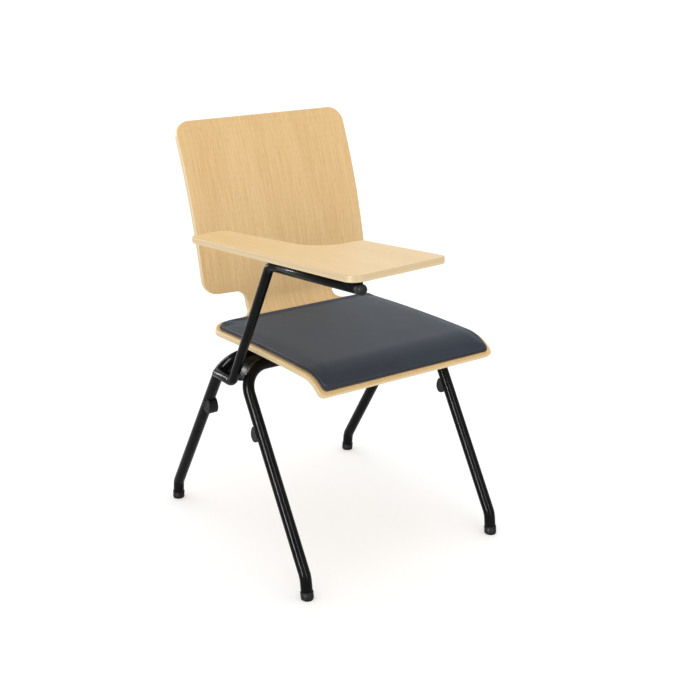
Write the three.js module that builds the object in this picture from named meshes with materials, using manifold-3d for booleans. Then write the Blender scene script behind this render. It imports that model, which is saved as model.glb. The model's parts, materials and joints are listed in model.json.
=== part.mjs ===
// Student desk chair with a flip-up writing tablet.
// Two U-shaped tube frames lean on each other and carry a bent plywood shell with a padded seat. An arm
// tube on the sitter's right carries a tablet that turns about a spindle beside the sitter.
//
// Units are millimetres. +Z is up, -Y is the front of the chair and +X is the sitter's left. Pieces are
// drawn with Y = 0 at the front feet, and the finished chair is then moved so that its origin is on the
// floor below the middle of its overall box.

import * as THREE from 'three';
import { mergeVertices } from 'three/addons/utils/BufferGeometryUtils.js';
import Module from 'manifold-3d';

const wasm = await Module();
wasm.setup();

// ---------------------------------------------------------------- driving dimensions

const GAP = 0.3; // between pieces that touch

// Leg frames
const TUBE_R = 12;
const TUBE_WALL = 2;
const LEG_X = 238; // legs' centre lines, left and right of the middle
const BAR_Z = 413; // crossbars' centre lines
const FRAME_BEND_R = 55;
const KNEE_BEND_R = 40;
const FRONT_LEG = { footY: 0, kneeY: 6, kneeZ: 45, lean: 0.614, bufferZ: 299 };
const REAR_LEG = { footY: 547.5, kneeY: 542.7, kneeZ: 42, lean: -0.641, bufferZ: 295 };

// Foot caps and stacking buffers
const CAP_R = 13.3;
const CAP_HEIGHT = 16.5;
const CAP_BASE = 5;
const BUFFER_LENGTH = 32;
const BUFFER_REACH = 16;
const BUFFER_WIDTH = 22;
const SADDLE_THICKNESS = 1.8;

// Plywood shell: its middle surface in side view, from the front lip to the top of the back.
// Each run has a length or a radius, and the angle it turns through, in degrees, upwards positive.
const SHELL_THICKNESS = 11;
const SHELL_START = { y: -11.3, z: 420.4, heading: 50 };
const SHELL_RUNS = [
  { radius: 80, turn: -50 },
  { length: 25, turn: 0 },
  { radius: 4900, turn: -3.5 },
  { radius: 55, turn: 86 },
  { radius: 1250, turn: -17.9 },
];
// The shell's blank, laid flat: distances along it from the front lip, and half widths.
const SHELL_HALF_WIDTH = 210.5;
const FRONT_CORNER_R = 13;
const SEAT_REAR = 434;
const SEAT_CORNER_R = 32;
const NECK_HALF_WIDTH = 110;
const NECK_FILLET_R = 24;
const LOBE_LOW = 495.5;
const LOBE_CORNER_R = 35;
const TOP_CORNER_R = 34;

// Seat pad and the board under it, as insets from the shell's outline and heights over its top face
const PAD_INSET = 8;
const PAD_REAR_INSET = 5;
const PAD_LOW = 3.2;
const PAD_HIGH = 12.5;
const BOARD_INSET = 14;
const BOARD_THICKNESS = 2.4;

// Mounting plates, spacers, screws and tee nuts under the seat
const PLATE = { x: 115, halfX: 38, frontY: 201, rearY: 336, thickness: 3 };
const FIXING_Y = [212, 325];
const SPACER_R = 10;
const SCREW_R = 2.9;
const SCREW_HEAD_R = 6;
const SCREW_HEAD_H = 3.5;
const NUT_BARREL_R = 4;
const NUT_FLANGE_R = 9;
const NUT_FLANGE_H = 1.2;

// Shoulder webs between the frames
const WEB_THICKNESS = 3;
const WEB_LOW = 378; // its lower edge, from the middle to the rear tube
const WEB_RISE = 22; // its lower edge climbs this far to reach the front tube
const WEB_INNER_X = 150;

// Arm tube on the sitter's right
const ARM_X = -251;
const ARM_R = 9.6;
const ARM_BORE_R = 6.3;
const ARM_START_Y = 319;
const ARM_LOW = { y: 249, z: 381 };
const ARM_TOP = { y: 91.9, z: 660.3 };
const ARM_LOW_BEND_R = 22;
const ARM_TOP_BEND_R = 25;

// Tablet: it rises towards the front, and turns in towards the sitter. Places are given along the
// hinge line from the arm's top corner, forwards positive.
const TABLET_RISE = THREE.MathUtils.degToRad(3.4);
const TABLET_TURN = THREE.MathUtils.degToRad(3.7);
const TABLET_THICKNESS = 12;
const TABLET_LOW = 13; // underside over the hinge line
const TABLET_FRONT = 269.5;
const TABLET_REAR = 247;
const ARM_END = 29;
const SPINDLE_R = 6;
const SPINDLE_START = 15;
const HINGE_R = 9.6;
const HINGE_BORE_R = 8.1;
const HINGE_START = 31.1;
const HINGE_END = 257;
const BUSH_LENGTH = 20;
const BUSH_FLANGE = 1.5;
const END_CAP_LENGTH = 15;
const HINGE_PLATE = { width: 26, thickness: 2.4, outer: -9, inner: 96 };
const SADDLE = { outer: -7, inner: 12.5, low: 3 }; // the block between a hinge plate and the tube
const HINGE_PLATE_ALONG = [70, 243];
const TABLET_SCREW_ACROSS = [32, 78];
const TABLET_SCREW_R = 2;
const TABLET_SCREW_DEPTH = 9;
const TABLET_SWING = 97; // degrees; its outer edge then lies just clear of the arm
const STOP_ALONG = 130;
const STOP_R = 2.5;
const STOP_TIP_R = 9.2;
const STOP_ROOT = 3; // the stop pin starts this far from the hinge line

// ---------------------------------------------------------------- materials

const powderCoat = { color: 0x17181a, roughness: 0.38, metalness: 0.3 };
const blackPlastic = { color: 0x121213, roughness: 0.55, metalness: 0 };
const steel = { color: 0xb4b7ba, roughness: 0.35, metalness: 0.9 };
const beech = { color: 0xdebb85, roughness: 0.5, metalness: 0 };
const paleBeech = { color: 0xe8cda2, roughness: 0.45, metalness: 0 };
const padCloth = { color: 0x40464d, roughness: 0.8, metalness: 0 };
const rawBoard = { color: 0xa9865a, roughness: 0.8, metalness: 0 };
const bushPlastic = { color: 0x1c1c1d, roughness: 0.4, metalness: 0 };

const chair = new THREE.Group();

/** Adds one named piece to a parent, with a material of its own. */
function addPiece(name, geometry, look, parent = chair) {
  const piece = new THREE.Mesh(geometry, new THREE.MeshStandardMaterial(look));
  piece.name = name;
  parent.add(piece);
  return piece;
}

// ---------------------------------------------------------------- solids

/** Signed volume of a triangle list, negative when its faces point inwards. */
function signedVolume(positions, triangles) {
  const corner = [0, 1, 2].map(() => new THREE.Vector3());
  let total = 0;
  for (let i = 0; i < triangles.length; i += 3) {
    corner.forEach((point, k) => point.fromArray(positions, 3 * triangles[i + k]));
    total += corner[0].dot(corner[1].cross(corner[2])) / 6;
  }
  return total;
}

/** Turns a closed three.js geometry into a solid, with its faces pointing out. */
function toSolid(geometry) {
  const bare = geometry.clone();
  bare.deleteAttribute('normal');
  bare.deleteAttribute('uv');
  const merged = mergeVertices(bare, 1e-3);
  const vertProperties = Float32Array.from(merged.attributes.position.array);
  const triVerts = Uint32Array.from(merged.index.array);
  if (signedVolume(vertProperties, triVerts) < 0) {
    for (let i = 0; i < triVerts.length; i += 3) {
      [triVerts[i + 1], triVerts[i + 2]] = [triVerts[i + 2], triVerts[i + 1]];
    }
  }
  return new wasm.Manifold(new wasm.Mesh({ numProp: 3, vertProperties, triVerts }));
}

/** Turns a solid back into a three.js geometry. */
function toGeometry(solid) {
  const mesh = solid.getMesh();
  const geometry = new THREE.BufferGeometry();
  const positions = new Float32Array(mesh.vertProperties);
  geometry.setAttribute('position', new THREE.BufferAttribute(positions, 3));
  geometry.setIndex(new THREE.BufferAttribute(new Uint32Array(mesh.triVerts), 1));
  return geometry;
}

/** Joins geometries into one, then cuts others away from it. */
function shape(parts, cutters = []) {
  let solid = toSolid(parts[0]);
  for (const part of parts.slice(1)) {
    solid = solid.add(toSolid(part));
  }
  for (const cutter of cutters) {
    solid = solid.subtract(toSolid(cutter));
  }
  return toGeometry(solid);
}

/** The part of one geometry that lies inside another. */
function overlap(first, second) {
  return toGeometry(toSolid(first).intersect(toSolid(second)));
}

/** A box from its lowest corner to its highest. */
function box(low, high) {
  const size = high.map((value, i) => value - low[i]);
  return new THREE.BoxGeometry(...size).translate(...high.map((value, i) => (value + low[i]) / 2));
}

/** Stands a geometry that was made along +Z at a point, pointing in a direction. */
function aim(geometry, from, direction) {
  const turn = new THREE.Quaternion();
  turn.setFromUnitVectors(new THREE.Vector3(0, 0, 1), direction.clone().normalize());
  return geometry.applyQuaternion(turn).translate(from.x, from.y, from.z);
}

/** A round bar from one point to another. */
function rod(from, to, radius, sides = 16) {
  const direction = to.clone().sub(from);
  const length = direction.length();
  const bar = new THREE.CylinderGeometry(radius, radius, length, sides).rotateX(Math.PI / 2);
  return aim(bar.translate(0, 0, length / 2), from, direction);
}

/** A turned piece about +Z: its profile is a closed loop of [radius, height] points. */
function turned(profile, sides = 20) {
  const loop = [...profile, profile[0]].map(([radius, height]) => new THREE.Vector2(radius, height));
  return new THREE.LatheGeometry(loop, sides).rotateX(Math.PI / 2);
}

/** A path through fixed stations: straight runs take one step, and bends take several. */
class StationPath extends THREE.Curve {
  constructor(stations) {
    super();
    this.stations = stations;
  }

  getPoint(t) {
    const last = this.stations.length - 1;
    const place = t * last;
    const i = Math.min(Math.floor(place), last - 1);
    return this.stations[i].clone().lerp(this.stations[i + 1], place - i);
  }

  getPointAt(u) {
    return this.getPoint(u);
  }

  getTangentAt(u) {
    const last = this.stations.length - 1;
    const i = Math.round(u * last);
    const into = this.stations[Math.max(i, 1)].clone().sub(this.stations[Math.max(i, 1) - 1]);
    const onward = this.stations[Math.min(i + 1, last)].clone().sub(this.stations[Math.min(i, last - 1)]);
    return into.normalize().add(onward.normalize()).normalize();
  }
}

/** Stations along straight runs between corners, with a round bend at each inner corner. */
function bentStations(corners, radii, stepDegrees = 13) {
  const stations = [corners[0]];
  for (let i = 1; i < corners.length - 1; i += 1) {
    const back = corners[i - 1].clone().sub(corners[i]).normalize();
    const ahead = corners[i + 1].clone().sub(corners[i]).normalize();
    const turn = Math.PI - back.angleTo(ahead);
    const radius = radii[i - 1];
    const start = corners[i].clone().addScaledVector(back, radius * Math.tan(turn / 2));
    const toCentre = back.clone().add(ahead).normalize();
    const centre = corners[i].clone().addScaledVector(toCentre, radius / Math.cos(turn / 2));
    const spoke = start.clone().sub(centre);
    const steps = Math.max(2, Math.round(THREE.MathUtils.radToDeg(turn) / stepDegrees));
    for (let k = 0; k <= steps; k += 1) {
      const angle = (turn * k) / steps;
      const point = centre.clone().addScaledVector(spoke, Math.cos(angle));
      stations.push(point.addScaledVector(back, -radius * Math.sin(angle)));
    }
  }
  stations.push(corners[corners.length - 1]);
  return stations;
}

/** A round tube along stations. A bore of 0 gives a solid bar. */
function tube(stations, radius, boreRadius = 0, sides = 16) {
  const section = new THREE.Shape().absarc(0, 0, radius, 0, 2 * Math.PI, false);
  if (boreRadius > 0) {
    section.holes.push(new THREE.Path().absarc(0, 0, boreRadius, 0, 2 * Math.PI, true));
  }
  return new THREE.ExtrudeGeometry(section, {
    extrudePath: new StationPath(stations),
    steps: stations.length - 1,
    curveSegments: sides / 2,
    bevelEnabled: false,
  });
}

// ---------------------------------------------------------------- leg frames

/** Y of a leg's centre line above its knee, at a height. */
function legY(leg, z) {
  return leg.kneeY + leg.lean * (z - leg.kneeZ);
}

/** Direction up a leg above its knee. */
function legDirection(leg) {
  return new THREE.Vector3(0, leg.lean, 1).normalize();
}

/** Stations down one leg, across under the seat and down the other. */
function frameStations(leg, footZ) {
  const footY = leg.footY + ((leg.kneeY - leg.footY) * footZ) / leg.kneeZ;
  const half = [
    new THREE.Vector3(-LEG_X, footY, footZ),
    new THREE.Vector3(-LEG_X, leg.kneeY, leg.kneeZ),
    new THREE.Vector3(-LEG_X, legY(leg, BAR_Z), BAR_Z),
  ];
  const mirrored = half.map((point) => new THREE.Vector3(-point.x, point.y, point.z)).reverse();
  const radii = [KNEE_BEND_R, FRAME_BEND_R, FRAME_BEND_R, KNEE_BEND_R];
  return bentStations([...half, ...mirrored], radii);
}

/** A solid bar over a whole frame, a little fatter than its tube, for cutting its neighbours. */
function frameCutter(leg) {
  return tube(frameStations(leg, CAP_BASE), TUBE_R + GAP);
}

function addFrames() {
  const bore = TUBE_R - TUBE_WALL;
  const footZ = CAP_BASE + GAP;
  addPiece('front_leg_frame', tube(frameStations(FRONT_LEG, footZ), TUBE_R, bore), powderCoat);
  addPiece('rear_leg_frame', tube(frameStations(REAR_LEG, footZ), TUBE_R, bore), powderCoat);
}

// ---------------------------------------------------------------- foot caps and buffers

/** A plastic cup over a foot's end, cut level at the floor. */
function footCap(leg, side) {
  const up = new THREE.Vector3(0, leg.kneeY - leg.footY, leg.kneeZ).normalize();
  const cup = turned([[0, -4], [CAP_R, -4], [CAP_R, CAP_HEIGHT], [0, CAP_HEIGHT]], 24);
  const placed = aim(cup, new THREE.Vector3(side * LEG_X, leg.footY, 0), up);
  const floor = box([-400, -400, -50], [400, 800, 0]);
  return shape([placed], [floor, frameCutter(leg)]);
}

/** A saddle on a leg with a lobe that faces the other frame, to keep stacked chairs apart. */
function stackingBuffer(leg, side) {
  const up = legDirection(leg);
  const centre = new THREE.Vector3(side * LEG_X, legY(leg, leg.bufferZ), leg.bufferZ);
  const out = new THREE.Vector3(0, Math.sign(leg.lean), 0);
  out.addScaledVector(up, -out.dot(up)).normalize();
  const across = new THREE.Vector3().crossVectors(up, out);
  const half = BUFFER_LENGTH / 2;
  const halfRound = new THREE.Shape().absarc(0, 0, TUBE_R + SADDLE_THICKNESS, 0, Math.PI, false);
  const saddle = new THREE.ExtrudeGeometry(halfRound, {
    depth: 1.12 * half, curveSegments: 12, bevelEnabled: false,
  });
  saddle.translate(0, 0, -0.62 * half);
  saddle.applyMatrix4(new THREE.Matrix4().makeBasis(across.clone().negate(), out, up).setPosition(centre));
  // The lobe's outline: u runs up the leg and v runs out from the leg's centre line.
  const tip = TUBE_R + BUFFER_REACH;
  const outline = new THREE.Shape();
  outline.moveTo(-half, 0);
  outline.lineTo(-half, TUBE_R);
  outline.quadraticCurveTo(-half, tip, -0.25 * half, tip);
  outline.quadraticCurveTo(0.5 * half, tip, half, TUBE_R);
  outline.lineTo(half, 0);
  const lobe = new THREE.ExtrudeGeometry(outline, {
    depth: BUFFER_WIDTH, curveSegments: 6, bevelEnabled: false,
  });
  lobe.translate(0, 0, -BUFFER_WIDTH / 2);
  lobe.applyMatrix4(new THREE.Matrix4().makeBasis(up, out, across).setPosition(centre));
  return shape([saddle, lobe], [frameCutter(leg)]);
}

function addFeetAndBuffers() {
  for (const [end, leg] of [['front', FRONT_LEG], ['rear', REAR_LEG]]) {
    for (const [hand, side] of [['right', -1], ['left', 1]]) {
      addPiece(`foot_cap_${end}_${hand}`, footCap(leg, side), blackPlastic);
      addPiece(`stacking_buffer_${end}_${hand}`, stackingBuffer(leg, side), blackPlastic);
    }
  }
}

// ---------------------------------------------------------------- shoulder webs

/** A curved plate that follows the frames' bends and fills the space between them. */
function shoulderWeb(side) {
  const half = WEB_THICKNESS / 2;
  const bendX = LEG_X - FRAME_BEND_R;
  const bendZ = BAR_Z - FRAME_BEND_R;
  const strip = new THREE.Shape();
  strip.moveTo(LEG_X + half, bendZ - 10);
  strip.lineTo(LEG_X + half, bendZ);
  strip.absarc(bendX, bendZ, FRAME_BEND_R + half, 0, Math.PI / 2, false);
  strip.lineTo(WEB_INNER_X, BAR_Z + half);
  strip.lineTo(WEB_INNER_X, BAR_Z - half);
  strip.absarc(bendX, bendZ, FRAME_BEND_R - half, Math.PI / 2, 0, true);
  strip.lineTo(LEG_X - half, bendZ - 10);
  const plate = new THREE.ExtrudeGeometry(strip, { depth: 400, curveSegments: 10, bevelEnabled: false });
  // The strip is drawn in X and Z, so it is stood up to run along Y.
  plate.rotateX(Math.PI / 2).translate(0, 450, 0);
  // The tongue is the side view of the web.
  const top = BAR_Z + 20;
  const shoulder = WEB_LOW + WEB_RISE;
  const [frontY, rearY] = [legY(FRONT_LEG, shoulder), legY(REAR_LEG, WEB_LOW)];
  const tongue = new THREE.Shape();
  tongue.moveTo(legY(FRONT_LEG, top), top);
  tongue.lineTo(frontY, shoulder);
  tongue.quadraticCurveTo(frontY + 24, WEB_LOW, (frontY + rearY) / 2, WEB_LOW);
  tongue.lineTo(rearY, WEB_LOW);
  tongue.lineTo(legY(REAR_LEG, top), top);
  const limits = new THREE.ExtrudeGeometry(tongue, { depth: 400, curveSegments: 6, bevelEnabled: false });
  // The tongue is drawn in Y and Z, and runs along X.
  limits.applyMatrix4(new THREE.Matrix4().makeBasis(
    new THREE.Vector3(0, 1, 0), new THREE.Vector3(0, 0, 1), new THREE.Vector3(1, 0, 0),
  ));
  const web = shape([overlap(plate, limits)], [frameCutter(FRONT_LEG), frameCutter(REAR_LEG)]);
  return side > 0 ? web : shape([web.scale(-1, 1, 1)]);
}

function addWebs() {
  addPiece('shoulder_web_right', shoulderWeb(-1), powderCoat);
  addPiece('shoulder_web_left', shoulderWeb(1), powderCoat);
}

// ---------------------------------------------------------------- shell and pad

/** Length along one run of the shell. */
function runLength(run) {
  return run.length ?? run.radius * THREE.MathUtils.degToRad(Math.abs(run.turn));
}

const SHELL_LENGTH = SHELL_RUNS.reduce((total, run) => total + runLength(run), 0);

/** Point and upward normal of the shell's middle surface, at a distance from the front lip. */
function shellAt(distance) {
  let { y, z } = SHELL_START;
  let heading = THREE.MathUtils.degToRad(SHELL_START.heading);
  let left = distance;
  for (const run of SHELL_RUNS) {
    const length = runLength(run);
    const used = Math.min(left, length);
    const turn = (THREE.MathUtils.degToRad(run.turn) * used) / length;
    const chord = turn === 0 ? used : (2 * used * Math.sin(turn / 2)) / turn;
    y += chord * Math.cos(heading + turn / 2);
    z += chord * Math.sin(heading + turn / 2);
    heading += turn;
    left -= used;
  }
  return { y, z, normal: [-Math.sin(heading), Math.cos(heading)] };
}

/** Adds rows to a half outline wherever its points are further apart than the bends need. */
function withRows(outline, furthest) {
  const rows = [outline[0]];
  for (const point of outline.slice(1)) {
    const last = rows[rows.length - 1];
    const span = point.x - last.x;
    if (span > 0.05) {
      const steps = Math.ceil(span / furthest);
      for (let k = 1; k <= steps; k += 1) {
        rows.push(last.clone().lerp(point, k / steps));
      }
    }
  }
  return rows;
}

/** A sheet bent along the shell: outline points are (distance along, half width). */
function bentSheet(outline, low, high) {
  const rows = withRows(outline, 12);
  const positions = [];
  for (const row of rows) {
    const { y, z, normal } = shellAt(row.x);
    for (const height of [low, high]) {
      for (const x of [-row.y, row.y]) {
        positions.push(x, y + normal[0] * height, z + normal[1] * height);
      }
    }
  }
  // Each row holds its low left, low right, high left and high right corners, in that order.
  const ring = [0, 1, 3, 2];
  const triangles = [0, 1, 3, 0, 3, 2];
  for (let i = 0; i < rows.length - 1; i += 1) {
    for (let k = 0; k < 4; k += 1) {
      const a = 4 * i + ring[k];
      const b = 4 * i + ring[(k + 1) % 4];
      triangles.push(a, a + 4, b + 4, a, b + 4, b);
    }
  }
  const end = 4 * (rows.length - 1);
  triangles.push(end, end + 3, end + 1, end, end + 2, end + 3);
  const geometry = new THREE.BufferGeometry();
  geometry.setAttribute('position', new THREE.Float32BufferAttribute(positions, 3));
  geometry.setIndex(triangles);
  return geometry;
}

/** Half outline of the shell's blank: seat, neck, lobes and back. */
function shellOutline() {
  const width = SHELL_HALF_WIDTH;
  const corner = SEAT_CORNER_R;
  const fillet = NECK_FILLET_R;
  const lobe = LOBE_CORNER_R;
  const right = Math.PI / 2;
  const blank = new THREE.Path();
  blank.moveTo(0, width - FRONT_CORNER_R);
  blank.absarc(FRONT_CORNER_R, width - FRONT_CORNER_R, FRONT_CORNER_R, Math.PI, right, true);
  blank.absarc(SEAT_REAR - corner - 2, width - corner, corner, right, 0, true);
  blank.absarc(SEAT_REAR + fillet, NECK_HALF_WIDTH + fillet, fillet, Math.PI, 1.5 * Math.PI, false);
  blank.absarc(LOBE_LOW - fillet, NECK_HALF_WIDTH + fillet, fillet, -right, 0, false);
  blank.absarc(LOBE_LOW + 1.5 + lobe, width - lobe, lobe, Math.PI, right, true);
  blank.absarc(SHELL_LENGTH - TOP_CORNER_R, width - TOP_CORNER_R, TOP_CORNER_R, right, 0, true);
  return blank.getPoints(7);
}

/** Half outline of a sheet that covers the seat, inset from the shell's edge and from its rear. */
function seatOutline(inset, rearInset) {
  const width = SHELL_HALF_WIDTH - inset;
  const front = FRONT_CORNER_R - 0.4 * inset;
  const rear = SEAT_CORNER_R - 0.4 * inset;
  const outline = new THREE.Path();
  outline.moveTo(inset, width - front);
  outline.absarc(inset + front, width - front, front, Math.PI, Math.PI / 2, true);
  outline.absarc(SEAT_REAR - rearInset - rear, width - rear, rear, Math.PI / 2, 0, true);
  return outline.getPoints(7);
}

/** Distance along the shell at which its seat reaches a Y. */
function seatDistance(y) {
  let [low, high] = [0, SEAT_REAR];
  for (let i = 0; i < 40; i += 1) {
    const middle = (low + high) / 2;
    [low, high] = shellAt(middle).y < y ? [middle, high] : [low, middle];
  }
  return low;
}

/** The four places where the shell is fixed to the plates, with their heights. */
function fixings() {
  return FIXING_Y.flatMap((y) => [-1, 1].map((side) => {
    const middle = shellAt(seatDistance(y));
    return {
      name: `${y === FIXING_Y[0] ? 'front' : 'rear'}_${side < 0 ? 'right' : 'left'}`,
      x: side * PLATE.x,
      y,
      plateLow: BAR_Z + TUBE_R + GAP,
      plateHigh: BAR_Z + TUBE_R + GAP + PLATE.thickness,
      shellLow: middle.z - SHELL_THICKNESS / 2,
      shellHigh: middle.z + SHELL_THICKNESS / 2,
    };
  }));
}

function addShellAndPad() {
  const half = SHELL_THICKNESS / 2;
  const bores = fixings().flatMap(({ x, y, shellLow, shellHigh }) => [
    rod(new THREE.Vector3(x, y, shellLow - 5), new THREE.Vector3(x, y, shellHigh + 5), NUT_BARREL_R + GAP),
    rod(
      new THREE.Vector3(x, y, shellHigh - NUT_FLANGE_H - 2 * GAP - 0.5),
      new THREE.Vector3(x, y, shellHigh + 5), NUT_FLANGE_R + GAP,
    ),
  ]);
  const blank = bentSheet(shellOutline(), -half, half);
  addPiece('seat_back_shell', shape([blank], bores), beech);
  const boardLow = half + GAP;
  const board = bentSheet(seatOutline(BOARD_INSET, BOARD_INSET), boardLow, boardLow + BOARD_THICKNESS);
  addPiece('pad_board', shape([board]), rawBoard);
  const pad = bentSheet(seatOutline(PAD_INSET, PAD_REAR_INSET), half + PAD_LOW, half + PAD_HIGH);
  addPiece('seat_pad', shape([pad]), padCloth);
}

// ---------------------------------------------------------------- fixings under the seat

function addMountingPlates() {
  const low = BAR_Z + TUBE_R + GAP;
  const high = low + PLATE.thickness;
  for (const [hand, side] of [['right', -1], ['left', 1]]) {
    const x = side * PLATE.x;
    const plate = box([x - PLATE.halfX, PLATE.frontY, low], [x + PLATE.halfX, PLATE.rearY, high]);
    const holes = FIXING_Y.map((y) => (
      rod(new THREE.Vector3(x, y, low - 5), new THREE.Vector3(x, y, high + 5), SCREW_R + GAP)
    ));
    addPiece(`mounting_plate_${hand}`, shape([plate], holes), powderCoat);
  }
}

function addShellFixings() {
  for (const { name, x, y, plateLow, plateHigh, shellLow, shellHigh } of fixings()) {
    // The shell slopes a little over a spacer's width, so the spacer stops short of it.
    const spacerLow = plateHigh + GAP;
    const spacerHigh = shellLow - 2.5 * GAP;
    const spacer = turned([
      [SCREW_R + GAP, spacerLow], [SPACER_R, spacerLow], [SPACER_R, spacerHigh], [SCREW_R + GAP, spacerHigh],
    ]);
    addPiece(`shell_spacer_${name}`, spacer.translate(x, y, 0), blackPlastic);
    const headHigh = plateLow - GAP;
    const screw = turned([
      [0, headHigh - SCREW_HEAD_H], [SCREW_HEAD_R, headHigh - SCREW_HEAD_H], [SCREW_HEAD_R, headHigh],
      [SCREW_R, headHigh], [SCREW_R, shellHigh - 1.5], [0, shellHigh - 1.5],
    ]);
    addPiece(`shell_screw_${name}`, shape([screw]).translate(x, y, 0), steel);
    const flangeHigh = shellHigh - 0.5;
    const nut = turned([
      [SCREW_R + GAP, shellLow + 2], [NUT_BARREL_R, shellLow + 2], [NUT_BARREL_R, flangeHigh - NUT_FLANGE_H],
      [NUT_FLANGE_R, flangeHigh - NUT_FLANGE_H], [NUT_FLANGE_R, flangeHigh], [SCREW_R + GAP, flangeHigh],
    ]);
    addPiece(`tee_nut_${name}`, nut.translate(x, y, 0), steel);
  }
}

// ---------------------------------------------------------------- arm and tablet

// Everything on the hinge line is drawn in a frame of its own: X inwards, -Y forwards, Z square to the
// tablet, with its origin at the arm's top corner.
const tabletFrame = new THREE.Group();
tabletFrame.position.set(ARM_X, ARM_TOP.y, ARM_TOP.z);
tabletFrame.rotation.set(-TABLET_RISE, 0, TABLET_TURN, 'ZYX');
tabletFrame.updateMatrix();
chair.add(tabletFrame);

/** A point on the hinge line. */
function onHinge(along, inwards = 0, height = 0) {
  return new THREE.Vector3(inwards, -along, height);
}

function addArm() {
  const corners = [
    new THREE.Vector3(ARM_X, ARM_START_Y, ARM_LOW.z),
    new THREE.Vector3(ARM_X, ARM_LOW.y, ARM_LOW.z),
    new THREE.Vector3(ARM_X, ARM_TOP.y, ARM_TOP.z),
    onHinge(ARM_END).applyMatrix4(tabletFrame.matrix),
  ];
  const stations = bentStations(corners, [ARM_LOW_BEND_R, ARM_TOP_BEND_R]);
  const arm = shape([tube(stations, ARM_R, ARM_BORE_R)], [frameCutter(FRONT_LEG), frameCutter(REAR_LEG)]);
  addPiece('tablet_arm', arm, powderCoat);
}

/** A piece turned about the hinge line: its profile is [radius, distance along] points. */
function onSpindle(profile, sides = 24) {
  return turned(profile, sides).rotateX(Math.PI / 2);
}

function addSpindleAndBushes() {
  const capStart = HINGE_END + 2 * GAP + BUSH_FLANGE + GAP;
  const spindleEnd = capStart + END_CAP_LENGTH - 5;
  const pinHole = rod(
    onHinge(STOP_ALONG, STOP_ROOT), onHinge(STOP_ALONG, STOP_TIP_R), STOP_R + GAP, 12,
  );
  const spindle = onSpindle([
    [0, SPINDLE_START], [SPINDLE_R, SPINDLE_START], [SPINDLE_R, spindleEnd], [0, spindleEnd],
  ]);
  addPiece('tablet_spindle', shape([spindle], [pinHole]), steel, tabletFrame);
  const pin = rod(onHinge(STOP_ALONG, STOP_ROOT + GAP), onHinge(STOP_ALONG, STOP_TIP_R), STOP_R, 12);
  addPiece('stop_pin', pin, steel, tabletFrame);
  const bushBore = SPINDLE_R + GAP;
  const bushR = HINGE_BORE_R - GAP;
  const rearFlange = ARM_END + GAP;
  const rearEnd = HINGE_START + BUSH_LENGTH;
  addPiece('pivot_bush_rear', onSpindle([
    [bushBore, rearFlange], [HINGE_R, rearFlange], [HINGE_R, rearFlange + BUSH_FLANGE],
    [bushR, rearFlange + BUSH_FLANGE], [bushR, rearEnd], [bushBore, rearEnd],
  ]), bushPlastic, tabletFrame);
  const frontFlange = HINGE_END + GAP;
  addPiece('pivot_bush_front', onSpindle([
    [bushBore, HINGE_END - BUSH_LENGTH], [bushR, HINGE_END - BUSH_LENGTH], [bushR, frontFlange],
    [HINGE_R, frontFlange], [HINGE_R, frontFlange + BUSH_FLANGE], [bushBore, frontFlange + BUSH_FLANGE],
  ]), bushPlastic, tabletFrame);
  const capEnd = capStart + END_CAP_LENGTH;
  addPiece('arm_end_cap', onSpindle([
    [bushBore, capStart], [HINGE_R, capStart], [HINGE_R, capEnd - 3], [HINGE_R - 1, capEnd - 1],
    [HINGE_R - 3, capEnd], [0, capEnd], [0, spindleEnd + GAP], [bushBore, spindleEnd + GAP],
  ]), blackPlastic, tabletFrame);
}

/** A ring sector round the hinge line, cut through the hinge tube so that it can pass the stop pin. */
function stopSlot() {
  const atRest = Math.asin((STOP_R + 0.5) / HINGE_BORE_R);
  const swung = -THREE.MathUtils.degToRad(TABLET_SWING) - atRest;
  const sector = new THREE.Shape();
  sector.absarc(0, 0, HINGE_R + 2, atRest, swung, true);
  sector.absarc(0, 0, HINGE_BORE_R - 2, swung, atRest, false);
  const width = 2 * STOP_R + 1;
  const slot = new THREE.ExtrudeGeometry(sector, { depth: width, curveSegments: 16, bevelEnabled: false });
  // The sector is drawn in X and Z, and runs along the hinge line.
  return slot.rotateX(Math.PI / 2).translate(0, -STOP_ALONG + width / 2, 0);
}

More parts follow.
